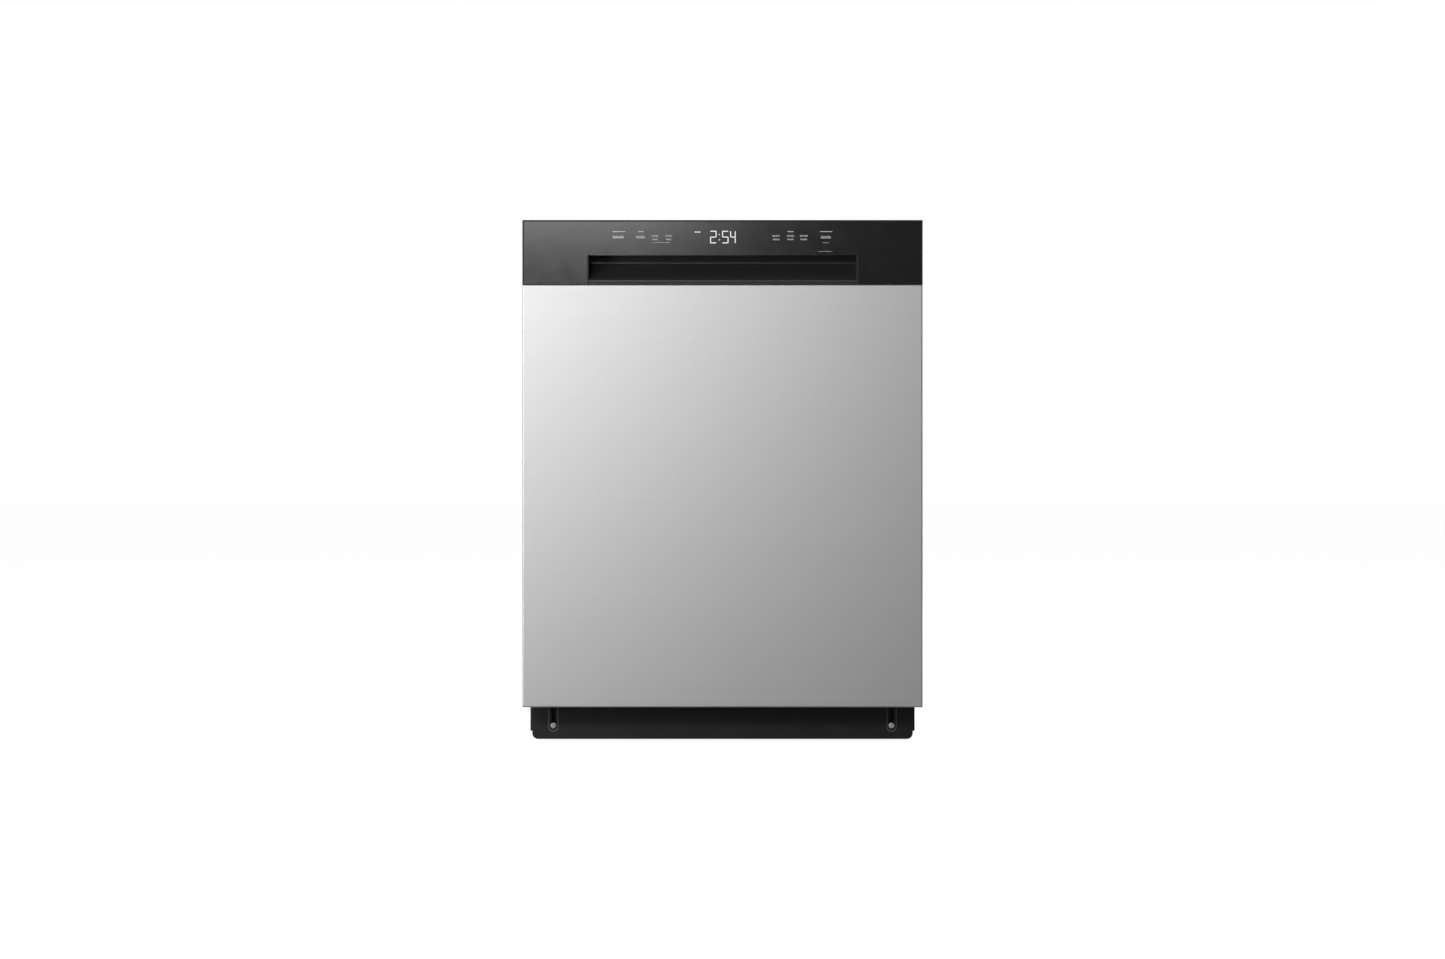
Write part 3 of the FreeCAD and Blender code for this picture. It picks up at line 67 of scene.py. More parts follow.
FRONT = cad_box[0][1]
TOP = cad_box[1][2]


# ---- materials -------------------------------------------------------------------------------
def shader(name, base, rough, metallic=0.0, **constants):
    """A material with a Principled shader. Constants go straight on the shader's own sockets."""
    material = bpy.data.materials.new(name)
    material.use_nodes = True
    nodes, links = material.node_tree.nodes, material.node_tree.links
    bsdf = nodes["Principled BSDF"]
    bsdf.inputs["Metallic"].default_value = metallic
    bsdf.inputs["Roughness"].default_value = rough
    bsdf.inputs["Base Color"].default_value = (*base, 1)
    for key, value in constants.items():
        bsdf.inputs[key.replace("_", " ")].default_value = value
    return material, nodes, links, bsdf


def position(nodes, links, stretch=(1, 1, 1)):
    """Row-frame coordinates, stretched by axis."""
    coordinates = nodes.new("ShaderNodeTexCoord")
    mapping = nodes.new("ShaderNodeMapping")
    mapping.inputs["Scale"].default_value = stretch
    links.new(coordinates.outputs["Object"], mapping.inputs["Vector"])
    return mapping.outputs["Vector"]


def noise_field(nodes, links, vector, scale, detail=3.0, roughness=0.55):
    """A cloudy field between 0 and 1."""
    texture = nodes.new("ShaderNodeTexNoise")
    texture.inputs["Scale"].default_value = scale
    texture.inputs["Detail"].default_value = detail
    texture.inputs["Roughness"].default_value = roughness
    links.new(vector, texture.inputs["Vector"])
    return texture.outputs["Fac"]


def spread_value(nodes, links, field, low, high, start=0.3, end=0.7):
    """A field mapped to a range of values."""
    mapped = nodes.new("ShaderNodeMapRange")
    mapped.inputs["From Min"].default_value = start
    mapped.inputs["From Max"].default_value = end
    mapped.inputs["To Min"].default_value = low
    mapped.inputs["To Max"].default_value = high
    links.new(field, mapped.inputs["Value"])
    return mapped.outputs["Result"]


def tinted(nodes, links, field, dark, light, bsdf, start=0.3, end=0.7):
    """Base colour between two tones by a field."""
    ramp = nodes.new("ShaderNodeValToRGB")
    ramp.color_ramp.elements[0].position = start
    ramp.color_ramp.elements[1].position = end
    ramp.color_ramp.elements[0].color = (*dark, 1)
    ramp.color_ramp.elements[1].color = (*light, 1)
    links.new(field, ramp.inputs["Fac"])
    links.new(ramp.outputs["Color"], bsdf.inputs["Base Color"])


def bumped(nodes, links, field, strength, distance, bsdf, under=None):
    """A field as surface relief, over another bump if one is given."""
    bump = nodes.new("ShaderNodeBump")
    bump.inputs["Strength"].default_value = strength
    bump.inputs["Distance"].default_value = distance
    links.new(field, bump.inputs["Height"])
    if under is not None:
        links.new(under, bump.inputs["Normal"])
    links.new(bump.outputs["Normal"], bsdf.inputs["Normal"])
    return bump.outputs["Normal"]


def combined(nodes, links, operation, one, two):
    """Two fields through one maths node."""
    both = nodes.new("ShaderNodeMath")
    both.operation = operation
    links.new(one, both.inputs[0])
    links.new(two, both.inputs[1])
    return both.outputs[0]


def compared(nodes, links, operation, value, limit):
    """A coordinate through one maths node with a fixed second number."""
    test = nodes.new("ShaderNodeMath")
    test.operation = operation
    links.new(value, test.inputs[0])
    test.inputs[1].default_value = limit
    return test.outputs[0]


def axes_of(nodes, links):
    """The row-frame coordinates, one output for each axis."""
    split = nodes.new("ShaderNodeSeparateXYZ")
    links.new(position(nodes, links), split.inputs["Vector"])
    return split.outputs


def tones(base, amount):
    """A darker and a lighter tone of a colour."""
    return [c * (1 - amount) for c in base], [min(1.0, c * (1 + amount)) for c in base]


def moulded(name, base, rough, grain=900.0, depth=0.25, mottling=0.10, **constants):
    """Moulded plastic or rubber: fine grain, faint flow mottling and uneven gloss."""
    material, nodes, links, bsdf = shader(name, base, rough, **constants)
    vector = position(nodes, links)
    dark, light = tones(base, mottling)
    broad = noise_field(nodes, links, vector, 14.0, 4.0)
    tinted(nodes, links, broad, dark, light, bsdf)
    uneven = noise_field(nodes, links, vector, 45.0, 5.0)
    gloss = spread_value(nodes, links, uneven, rough * 0.88, min(1.0, rough * 1.14))
    links.new(gloss, bsdf.inputs["Roughness"])
    bumped(nodes, links, noise_field(nodes, links, vector, grain, 2.0), depth, 0.0001, bsdf)
    return material


def brushed(name, base, rough, along, depth=0.10, streak=0.02, aniso=0.55):
    """Brushed stainless: hair-fine streaks along one axis, over faint broad unevenness."""
    material, nodes, links, bsdf = shader(name, base, rough, 1.0, Anisotropic=aniso)
    fine = [2600.0, 2600.0, 2600.0]
    fine[along] = 9.0
    medium = [700.0, 700.0, 700.0]
    medium[along] = 3.0
    fine_field = noise_field(nodes, links, position(nodes, links, fine), 1.0, 2.0)
    medium_field = noise_field(nodes, links, position(nodes, links, medium), 1.0, 4.0)
    both = combined(nodes, links, "ADD", fine_field, medium_field)
    dark, light = tones(base, streak)
    tinted(nodes, links, medium_field, dark, light, bsdf, 0.25, 0.75)
    gloss = spread_value(nodes, links, both, rough * 0.93, rough * 1.07, 0.7, 1.3)
    links.new(gloss, bsdf.inputs["Roughness"])
    bumped(nodes, links, fine_field, depth, 0.00002, bsdf)
    bsdf.inputs["Anisotropic Rotation"].default_value = 0.25
    tangent = nodes.new("ShaderNodeTangent")
    tangent.direction_type = "RADIAL"
    tangent.axis = "Z"
    links.new(tangent.outputs["Tangent"], bsdf.inputs["Tangent"])
    return material


def satin_rim(material, rim, rough, half, top, pocket_half, pocket_high):
    """A duller finish on the panel's outer border and round the handle's opening."""
    nodes, links = material.node_tree.nodes, material.node_tree.links
    bsdf = nodes["Principled BSDF"]
    gloss = bsdf.inputs["Roughness"].links[0].from_socket
    axes = axes_of(nodes, links)
    width = nodes.new("ShaderNodeMath")
    width.operation = "ABSOLUTE"
    links.new(axes["X"], width.inputs[0])
    x, z = width.outputs[0], axes["Z"]
    border = combined(nodes, links, "MAXIMUM",
                      compared(nodes, links, "GREATER_THAN", x, half - rim),
                      compared(nodes, links, "GREATER_THAN", z, top - rim))
    near = combined(nodes, links, "MINIMUM",
                    compared(nodes, links, "LESS_THAN", x, pocket_half + rim),
                    compared(nodes, links, "LESS_THAN", z, pocket_high))
    both = combined(nodes, links, "MAXIMUM", border, near)
    mix = nodes.new("ShaderNodeMapRange")
    links.new(both, mix.inputs["Value"])
    links.new(gloss, mix.inputs["To Min"])
    mix.inputs["To Max"].default_value = rough
    links.new(mix.outputs["Result"], bsdf.inputs["Roughness"])


def edge_lit(material, front_y, colour):
    """A painted highlight: a lighter tone on whatever stands proud of a sheet's face, where its
    edges catch the light.
    """
    nodes, links = material.node_tree.nodes, material.node_tree.links
    bsdf = nodes["Principled BSDF"]
    plain = bsdf.inputs["Base Color"].links[0].from_socket
    proud = compared(nodes, links, "LESS_THAN", axes_of(nodes, links)["Y"], front_y)
    mix = nodes.new("ShaderNodeMix")
    mix.data_type = "RGBA"
    links.new(proud, mix.inputs["Factor"])
    links.new(plain, mix.inputs[6])
    mix.inputs[7].default_value = (*colour, 1)
    links.new(mix.outputs[2], bsdf.inputs["Base Color"])


def plated(name, base, rough):
    """Zinc-plated sheet: a soft spangle of crystals and dull patches."""
    material, nodes, links, bsdf = shader(name, base, rough, 1.0)
    vector = position(nodes, links)
    cells = nodes.new("ShaderNodeTexVoronoi")
    cells.inputs["Scale"].default_value = 110.0
    links.new(vector, cells.inputs["Vector"])
    split = nodes.new("ShaderNodeSeparateColor")
    links.new(cells.outputs["Color"], split.inputs["Color"])
    dark, light = tones(base, 0.14)
    tinted(nodes, links, split.outputs[0], dark, light, bsdf, 0.1, 0.9)
    patches = noise_field(nodes, links, vector, 24.0, 4.0)
    gloss = spread_value(nodes, links, patches, rough * 0.8, rough * 1.3)
    links.new(gloss, bsdf.inputs["Roughness"])
    bumped(nodes, links, cells.outputs["Distance"], 0.10, 0.0002, bsdf)
    return material


def felted(name, base):
    """Pressed fibre mat: tangled short fibres with lighter and darker flecks."""
    material, nodes, links, bsdf = shader(name, base, 0.95, Sheen_Weight=0.35, Sheen_Roughness=0.6)
    flat = position(nodes, links)
    across = position(nodes, links, (0.18, 1.0, 1.0))
    upward = position(nodes, links, (1.0, 1.0, 0.22))
    one = noise_field(nodes, links, across, 1400.0, 5.0, 0.7)
    two = noise_field(nodes, links, upward, 1200.0, 5.0, 0.7)
    fibres = combined(nodes, links, "MAXIMUM", one, two)
    dark, light = tones(base, 0.45)
    tinted(nodes, links, fibres, dark, light, bsdf, 0.42, 0.74)
    lumps = noise_field(nodes, links, flat, 60.0, 4.0)
    under = nodes.new("ShaderNodeBump")
    under.inputs["Strength"].default_value = 0.35
    under.inputs["Distance"].default_value = 0.002
    links.new(lumps, under.inputs["Height"])
    bumped(nodes, links, fibres, 0.6, 0.0006, bsdf, under.outputs["Normal"])
    return material


def circuit(name):
    """A populated circuit board: green lacquer over a grid of tracks."""
    material, nodes, links, bsdf = shader(name, (0.02, 0.16, 0.07), 0.35)
    vector = position(nodes, links)
    tracks = nodes.new("ShaderNodeTexBrick")
    tracks.inputs["Scale"].default_value = 120.0
    tracks.inputs["Mortar Size"].default_value = 0.03
    tracks.inputs["Color1"].default_value = (0.015, 0.13, 0.055, 1)
    tracks.inputs["Color2"].default_value = (0.02, 0.18, 0.075, 1)
    tracks.inputs["Mortar"].default_value = (0.10, 0.30, 0.12, 1)
    turned = nodes.new("ShaderNodeVectorRotate")
    turned.inputs["Angle"].default_value = math.radians(90)
    turned.inputs["Axis"].default_value = (1, 0, 0)
    links.new(vector, turned.inputs["Vector"])
    links.new(turned.outputs["Vector"], tracks.inputs["Vector"])
    links.new(tracks.outputs["Color"], bsdf.inputs["Base Color"])
    bumped(nodes, links, tracks.outputs["Fac"], 0.3, 0.0002, bsdf)
    return material


def coil_wire(name, base):
    """Drawn wire or turned steel, a little uneven in tone."""
    material, nodes, links, bsdf = shader(name, base, 0.32, 1.0)
    vector = position(nodes, links)
    dark, light = tones(base, 0.22)
    tinted(nodes, links, noise_field(nodes, links, vector, 160.0, 4.0), dark, light, bsdf)
    bumped(nodes, links, noise_field(nodes, links, vector, 1800.0, 2.0), 0.12, 0.0001, bsdf)
    return material


def glowing(name, colour, strength):
    """A lit display segment, its glow a little uneven at random across it."""
    material, nodes, links, bsdf = shader(name, (0.03, 0.03, 0.03), 0.4,
                                          Emission_Strength=strength)
    field = noise_field(nodes, links, position(nodes, links), 320.0, 2.0)
    ramp = nodes.new("ShaderNodeValToRGB")
    ramp.color_ramp.elements[0].color = (*[c * 0.92 for c in colour], 1)
    ramp.color_ramp.elements[1].color = (*colour, 1)
    links.new(field, ramp.inputs["Fac"])
    links.new(ramp.outputs["Color"], bsdf.inputs["Emission Color"])
    return material


DOOR_STEEL = brushed("door_steel", (0.608, 0.608, 0.607), 0.55, 0, aniso=0.0)
LINER_STEEL = brushed("inner_steel_door", (0.60, 0.61, 0.62), 0.36, 2, 0.04, 0.015, 0.1)
TUB_STEEL = brushed("inner_steel_tub", (0.47, 0.48, 0.49), 0.50, 2, 0.03, 0.012, 0.0)
FASCIA = moulded("fascia_gloss", (0.0030, 0.0031, 0.0033), 0.215, 2200.0, 0.02, 0.05)
POCKET = moulded("pocket_satin", (0.017, 0.0180, 0.0188), 0.42, 1500.0, 0.25, 0.08)
KICK_WITH_PAINTED_LIGHT = moulded("kick_enamel_with_painted_light", (0.0048, 0.0048, 0.0066), 0.50, 1300.0, 0.30, 0.12)
ZINC = plated("zinc_plate", (0.55, 0.56, 0.58), 0.36)
SCREW = coil_wire("screw_steel", (0.52, 0.52, 0.53))
# Painted glint: the kick screw heads get a pale, only partly metallic finish over their zinc
# colour, so they show bright as a glint would.
SCREW_HEAD_PAINTED_GLINT = moulded("screw_head_zinc_painted_glint", (0.62, 0.62, 0.63), 0.35, 1800.0, 0.1, 0.15,
                     Metallic=0.35)
SPRING = coil_wire("spring_wire", (0.40, 0.41, 0.43))
BASE = moulded("base_plastic", (0.022, 0.022, 0.024), 0.55, 700.0, 0.35)
GREY = moulded("grey_plastic", (0.17, 0.18, 0.20), 0.46, 900.0, 0.28)
LIGHT = moulded("light_plastic", (0.48, 0.50, 0.52), 0.42, 900.0, 0.22)
WHITE = moulded("white_plastic", (0.66, 0.66, 0.64), 0.45, 900.0, 0.22)
BLUE = moulded("blue_plastic", (0.03, 0.12, 0.36), 0.40, 900.0, 0.22)
CLEAR = moulded("clear_plastic", (0.78, 0.81, 0.82), 0.30, 700.0, 0.2, 0.04,
                Transmission_Weight=0.55, IOR=1.45)
WIRE = moulded("wire_nylon", (0.21, 0.225, 0.24), 0.38, 1600.0, 0.30, 0.10, Coat_Weight=0.2)
WHEEL = moulded("wheel_acetal", (0.10, 0.105, 0.115), 0.40, 1100.0, 0.2)
RUBBER = moulded("seal_rubber", (0.018, 0.018, 0.019), 0.62, 1300.0, 0.35, 0.15)
HOSE = moulded("hose_rubber", (0.035, 0.035, 0.037), 0.50, 1100.0, 0.3, 0.15)
FELT = felted("fibre_mat", (0.055, 0.055, 0.06))
BOARD = circuit("circuit_board")
PRINT = moulded("printed_marks", (0.66, 0.67, 0.68), 0.5, 1500.0, 0.1)
LIT = glowing("lit_segments", (0.93, 0.96, 1.0), 1.0)

LOOKS = {
    "tub": TUB_STEEL, "door_liner": LINER_STEEL, "upper_rails": TUB_STEEL,
    "coarse_filter": TUB_STEEL, "door_outer_panel": DOOR_STEEL, "control_fascia": FASCIA,
    "handle_cup": POCKET, "kick_plate": KICK_WITH_PAINTED_LIGHT, "top_cross_rail": ZINC,
    # Painted shade: the steel inner kick panel takes the black kick finish, so the slots in the
    # kick plate read dark as shade.
    "countertop_brackets": ZINC, "inner_kick_panel": KICK_WITH_PAINTED_LIGHT, "hinge_brackets": ZINC,
    "hinge_arms": ZINC, "heater": ZINC, "junction_box": ZINC, "latch_strike": SCREW,
    "latch_hook": SCREW, "kick_screws": SCREW_HEAD_PAINTED_GLINT, "door_screws": SCREW,
    "foot_front_left": SCREW, "foot_front_right": SCREW, "foot_rear_left": SCREW,
    "foot_rear_right": SCREW, "base_tray": BASE, "pump_rotor": BASE, "latch_housing": BASE,
    "feed_pipe": GREY, "sump": GREY, "lower_spray_arm": GREY, "middle_spray_arm": GREY,
    "middle_manifold": GREY, "top_spray_arm": GREY, "dispenser_body": GREY,
    "silverware_basket": GREY, "rail_glides": LIGHT, "fine_filter": LIGHT,
    "float_dome": LIGHT, "dispenser_lid": LIGHT, "upper_rack_carriers": LIGHT,
    "wash_pump_housing": WHITE, "drain_pump_housing": WHITE, "inlet_valve": WHITE,
    "drain_impeller": BLUE, "rinse_aid_cap": BLUE, "air_break": CLEAR, "display_board": BOARD,
    "lower_rack": WIRE, "upper_rack": WIRE, "folding_tines": WIRE, "cup_shelf": WIRE,
    "lower_wheels_front": WHEEL, "lower_wheels_rear": WHEEL,
    "upper_wheels_front": WHEEL, "upper_wheels_rear": WHEEL,
}
RIM = 2.4 * MM
CUP_WALL, OPENING_HEIGHT = 2.2 * MM, 39.2 * MM
cup_low, cup_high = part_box("handle_cup")
satin_rim(FASCIA, RIM, 0.60, cad_box[1][0], TOP, cup_high.x - CUP_WALL,
          cup_low.z + CUP_WALL + OPENING_HEIGHT)
# Painted highlight: the kick plate's proud parts take a lighter grey that stands in for light on
# their edges.
edge_lit(KICK_WITH_PAINTED_LIGHT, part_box("kick_plate")[0].y + 0.05 * MM, (0.12, 0.12, 0.125))
SOFTENED = {"silverware_basket": 0.5, "dispenser_body": 0.6, "sump": 0.6, "base_tray": 0.6,
            "lower_spray_arm": 1.5, "middle_spray_arm": 1.5, "top_spray_arm": 1.2,
            "handle_cup": 0.5, "kick_plate": 0.35, "feed_pipe": 0.6}


def paint(obj, material):
    """One material for the whole object."""
    obj.data.materials.clear()
    obj.data.materials.append(material)


def soften(obj, width):
    """Small rounded edges by modifiers, which leave the mesh itself alone."""
    bevel = obj.modifiers.new("edges", "BEVEL")
    bevel.width = width * MM
    bevel.segments = 2
    bevel.limit_method = "ANGLE"
    bevel.angle_limit = math.radians(35)
    bevel.use_clamp_overlap = True
    bevel.harden_normals = False
    weighted = obj.modifiers.new("normals", "WEIGHTED_NORMAL")
    weighted.keep_sharp = True


for name, look in LOOKS.items():
    node = NODES[name]
    paint(node, look)
    if name in SOFTENED:
        soften(node, SOFTENED[name])


# ---- mesh helpers ----------------------------------------------------------------------------
def piece(name, verts, faces, material, body, slot, smooth=True):
    """A new mesh object that rides on a body. The slot argument is not used."""
    mesh = bpy.data.meshes.new(name)
    mesh.from_pydata([tuple(v) for v in verts], [], faces)
    mesh.update()
    fresh = bmesh.new()
    fresh.from_mesh(mesh)
    bmesh.ops.recalc_face_normals(fresh, faces=fresh.faces)
    fresh.to_mesh(mesh)
    fresh.free()
    for polygon in mesh.polygons:
        polygon.use_smooth = smooth
    obj = bpy.data.objects.new(name, mesh)
    bpy.context.scene.collection.objects.link(obj)
    paint(obj, material)
    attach(obj, body)
    return obj


def sweep(path, section, up=(0, 1, 0)):
    """Verts and faces of a closed 2-D section carried along a path of points."""
    path = [Vector(p) for p in path]
    count, ring = len(path), len(section)
    verts, faces = [], []
    for i, point in enumerate(path):
        before = path[i - 1] if i else point
        after = path[i + 1] if i < count - 1 else point
        along = (after - before).normalized()
        side = along.cross(Vector(up)).normalized()
        lift = side.cross(along).normalized()
        verts += [point + side * s + lift * t for s, t in section]
    for i in range(count - 1):
        a, b = i * ring, (i + 1) * ring
        for j in range(ring):
            k = (j + 1) % ring
            faces.append((a + j, a + k, b + k, b + j))
    faces.append(tuple(range(ring)))
    faces.append(tuple(range((count - 1) * ring, count * ring)))
    return verts, faces


def round_skin(line, radii, sides):
    """Verts and faces of a round section carried along a line, without twist."""
    verts, faces, normal = [], [], None
    for i, point in enumerate(line):
        ahead = (line[min(i + 1, len(line) - 1)] - line[max(i - 1, 0)]).normalized()
        if normal is None:
            normal = ahead.orthogonal().normalized()
        normal = (normal - ahead * normal.dot(ahead)).normalized()
        side = ahead.cross(normal)
        for k in range(sides):
            turn = 2 * math.pi * k / sides
            verts.append(point + (normal * math.cos(turn) + side * math.sin(turn)) * radii[i])
    for i in range(len(line) - 1):
        for k in range(sides):
            m = (k + 1) % sides
            faces.append((i * sides + k, i * sides + m, (i + 1) * sides + m, (i + 1) * sides + k))
    faces.append(tuple(range(sides)))
    faces.append(tuple(range((len(line) - 1) * sides, len(line) * sides)))
    return verts, faces


def tube_on(curve_points, radius, sides=18, ribs=0.0, pitch=4.0 * MM, steps=24):
    """A tube mesh along a smooth line through a few route points, with rings if ribs is set."""
    curve = bpy.data.curves.new("route", "CURVE")
    curve.dimensions = "3D"
    spline = curve.splines.new("NURBS")
    spline.points.add(len(curve_points) - 1)
    for p, q in zip(spline.points, curve_points):
        p.co = (*q, 1)
    spline.order_u = 3
    spline.use_endpoint_u = True
    spline.resolution_u = steps
    holder = bpy.data.objects.new("route", curve)
    line = [v.co.copy() for v in bpy.data.meshes.new_from_object(holder).vertices]
    bpy.data.objects.remove(holder)
    spaced, left = [line[0]], 0.0
    gap = pitch / 4 if ribs else 3.0 * MM
    for a, b in zip(line, line[1:]):
        run = (b - a).length
        at = gap - left
        while at <= run:
            spaced.append(a.lerp(b, at / run))
            at += gap
        left = (left + run) % gap
    radii = [radius - (ribs if ribs and i % 4 in (0, 3) else 0.0) for i in range(len(spaced))]
    return round_skin(spaced, radii, sides)


def joined(parts):
    """Several meshes as one list of verts and one of faces."""
    verts, faces = [], []
    for part_verts, part_faces in parts:
        shift = len(verts)
        verts += part_verts
        faces += [tuple(i + shift for i in face) for face in part_faces]
    return verts, faces


def mat_block(low, high, across, rows, columns, seed):
    """A fibre mat: a thin block whose faces swell between rows of pressed dots and round edges."""
    axes = [i for i in range(3) if i != across]
    cuts_u, cuts_v = columns * 8, rows * 8
    middle = (low[across] + high[across]) / 2
    half = (high[across] - low[across]) / 2
    verts, faces = [], []
    for side in (-1, 1):
        for i in range(cuts_u + 1):
            for j in range(cuts_v + 1):
                u, v = i / cuts_u, j / cuts_v
                p = [0.0, 0.0, 0.0]
                p[axes[0]] = low[axes[0]] + (high[axes[0]] - low[axes[0]]) * u
                p[axes[1]] = low[axes[1]] + (high[axes[1]] - low[axes[1]]) * v
                edge = min(min(u, 1 - u) * cuts_u, min(v, 1 - v) * cuts_v)
                rim = min(1.0, edge / 2.5)
                rounding = 0.45 + 0.55 * math.sqrt(1 - (1 - rim) ** 2)
                du = abs((u * columns) % 1 - 0.5) * 2
                dv = abs((v * rows) % 1 - 0.5) * 2
                dot = max(0.0, 1 - 1.6 * math.hypot(1 - du, 1 - dv)) if edge > 3 else 0.0
                wave = 0.06 * noise.noise(Vector((u * 9, v * 9, seed)))
                p[across] = middle + side * half * (rounding * (0.92 + wave) - 0.5 * dot)
                verts.append(Vector(p))
    per = (cuts_u + 1) * (cuts_v + 1)

    def at(side, i, j):
        return side * per + i * (cuts_v + 1) + j

    for side in (0, 1):
        for i in range(cuts_u):
            for j in range(cuts_v):
                faces.append((at(side, i, j), at(side, i + 1, j), at(side, i + 1, j + 1),
                              at(side, i, j + 1)))
    for i in range(cuts_u):
        for j in (0, cuts_v):
            faces.append((at(0, i, j), at(0, i + 1, j), at(1, i + 1, j), at(1, i, j)))
    for j in range(cuts_v):
        for i in (0, cuts_u):
            faces.append((at(0, i, j), at(0, i, j + 1), at(1, i, j + 1), at(1, i, j)))
    return verts, faces


# ---- fibre mats ------------------------------------------------------------------------------
low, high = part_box("insulation_blanket")
side_front, side_back, side_base = low.y, 0.170, low.z
shell = 0.2846
mats = [
    mat_block((-high.x, side_front, side_base), (-shell, side_back, 0.768), 0, 8, 5, 1.0),
    mat_block((shell, side_front, side_base), (high.x, side_back, 0.768), 0, 8, 5, 2.0),
    mat_block((-0.270, -0.210, 0.7585), (0.270, 0.285, 0.768), 2, 6, 7, 3.0),
    mat_block((-0.276, 0.2855, 0.150), (0.276, 0.296, 0.754), 1, 8, 7, 4.0),
]
blanket = piece("fibre_mats", *joined(mats), FELT, "cabinet", "felt")
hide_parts("insulation_blanket")
low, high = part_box("door_insulation")
door_mat = piece("door_fibre_mat", *mat_block(low, high, 1, 8, 7, 5.0), FELT, "door", "felt")
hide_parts("door_insulation")


# ---- rubber seals ----------------------------------------------------------------------------
def arc(centre_x, centre_z, radius, start, end, y, steps=8):
    """Points round part of a circle that faces the front."""
    points = []
    for i in range(steps + 1):
        turn = math.radians(start + (end - start) * i / steps)
        points.append((centre_x + radius * math.cos(turn), y, centre_z + radius * math.sin(turn)))
    return points


low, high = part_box("door_gasket")
BULB_INSET = 4.0 * MM
mid_x, mid_y = high.x - BULB_INSET, (low.y + high.y) / 2
top_z, corner = high.z - BULB_INSET, 0.016
route = [(-mid_x, mid_y, low.z + i * (top_z - corner - low.z) / 20) for i in range(20)]
route += arc(-mid_x + corner, top_z - corner, corner, 180, 90, mid_y)
route += [(-mid_x + corner + i * (mid_x - corner) / 8, mid_y, top_z) for i in range(1, 16)]
route += arc(mid_x - corner, top_z - corner, corner, 90, 0, mid_y)
route += [(mid_x, mid_y, top_z - corner - i * (top_z - corner - low.z) / 20) for i in range(1, 21)]
bulb = [(-0.0036, -0.0029), (-0.0036, -0.0008), (-0.0030, 0.0004), (-0.0026, 0.0016),
        (-0.0016, 0.0026), (0.0, 0.0030), (0.0016, 0.0026), (0.0026, 0.0016), (0.0022, 0.0006),
        (0.0012, 0.0002), (0.0024, -0.0004), (0.0036, -0.0014), (0.0036, -0.0029),
        (0.0020, -0.0029), (0.0016, -0.0022), (-0.0016, -0.0022), (-0.0020, -0.0029)]
gasket = piece("tub_seal", *sweep(route, bulb, up=(0, -1, 0)), RUBBER, "cabinet", "seal_rubber")
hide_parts("door_gasket")

low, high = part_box("door_bottom_seal")
strip_z = (low.z + high.z) / 2
lip = [(0.0, -0.0068), (0.0022, -0.0066), (0.0022, -0.0058), (0.0036, -0.0060),
       (0.0050, -0.0066), (0.0053, -0.0060), (0.0042, -0.0046), (0.0024, -0.0038),
       (0.0022, -0.0010), (0.0016, 0.0), (0.0022, 0.0010), (0.0022, 0.0056), (0.0016, 0.0068),
       (0.0, 0.0068)]
steps = 60
verts, faces = [], []
for i in range(steps + 1):
    x = low.x + (high.x - low.x) * i / steps
    verts += [Vector((x, low.y + y, strip_z + z)) for y, z in lip]
ring = len(lip)
for i in range(steps):
    for j in range(ring):
        k = (j + 1) % ring
        faces.append((i * ring + j, i * ring + k, (i + 1) * ring + k, (i + 1) * ring + j))
faces += [tuple(range(ring)), tuple(range(steps * ring, (steps + 1) * ring))]
wiper = piece("door_wiper_seal", verts, faces, RUBBER, "door", "seal_rubber")
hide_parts("door_bottom_seal")


# ---- hoses and springs -----------------------------------------------------------------------
def mm(points):
    """Points given in millimetres, as vectors in metres."""
    return [Vector(p) * MM for p in points]


inlet_route = mm([(-215, 221, 52), (-215, 208, 52), (-215, 196, 52), (-250, 196, 52),
                  (-286.4, 196, 52), (-286.4, 229, 66), (-286.4, 262, 80), (-286.4, 262, 106),
                  (-290.7, 262, 152), (-290.7, 262, 184), (-290.7, 262, 216)])
drain_route = mm([(184, -92, 72), (204, -92, 72), (222, -92, 72), (222, -64, 72), (222, 84, 72),
                  (222, 112, 72), (254, 150, 72), (286.4, 188, 72), (286.4, 188, 106),
                  (290.7, 188, 152), (290.7, 188, 220), (290.7, 188, 500), (290.7, 188, 562),
                  (290.7, 268, 562), (290.7, 268, 500), (290.7, 268, 230), (290.7, 266, 190),
                  (290.7, 260, 152), (286.4, 244, 106), (286.4, 222, 52), (256, 222, 52),
                  (226, 222, 52), (226, 250, 52), (226, 278, 52)])
to_drain = mm([(116, -20, 72), (134, -20, 72), (150, -20, 72), (150, -46, 72), (150, -75, 72)])
to_heater = mm([(-141, 96, 66), (-141, 128, 66), (-141, 160, 66), (-102, 160, 66), (-64, 160, 66)])
to_riser = mm([(0, 216, 66), (0, 246, 66), (0, 274, 66), (0, 274, 80), (0, 274, 96)])


tubes = [
    tube_on(inlet_route, 5.0 * MM),
    tube_on(drain_route, 5.5 * MM, ribs=0.7 * MM, pitch=4.4 * MM),
    tube_on(to_drain, 8.5 * MM, 24, ribs=0.8 * MM, pitch=6.0 * MM),
    tube_on(to_heater, 12.0 * MM, 28, ribs=0.9 * MM, pitch=7.0 * MM),
    tube_on(to_riser, 8.5 * MM, 24),
]
hoses = piece("internal_hose_set", *joined(tubes), HOSE, "cabinet", "hose_rubber")
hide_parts("internal_hoses")


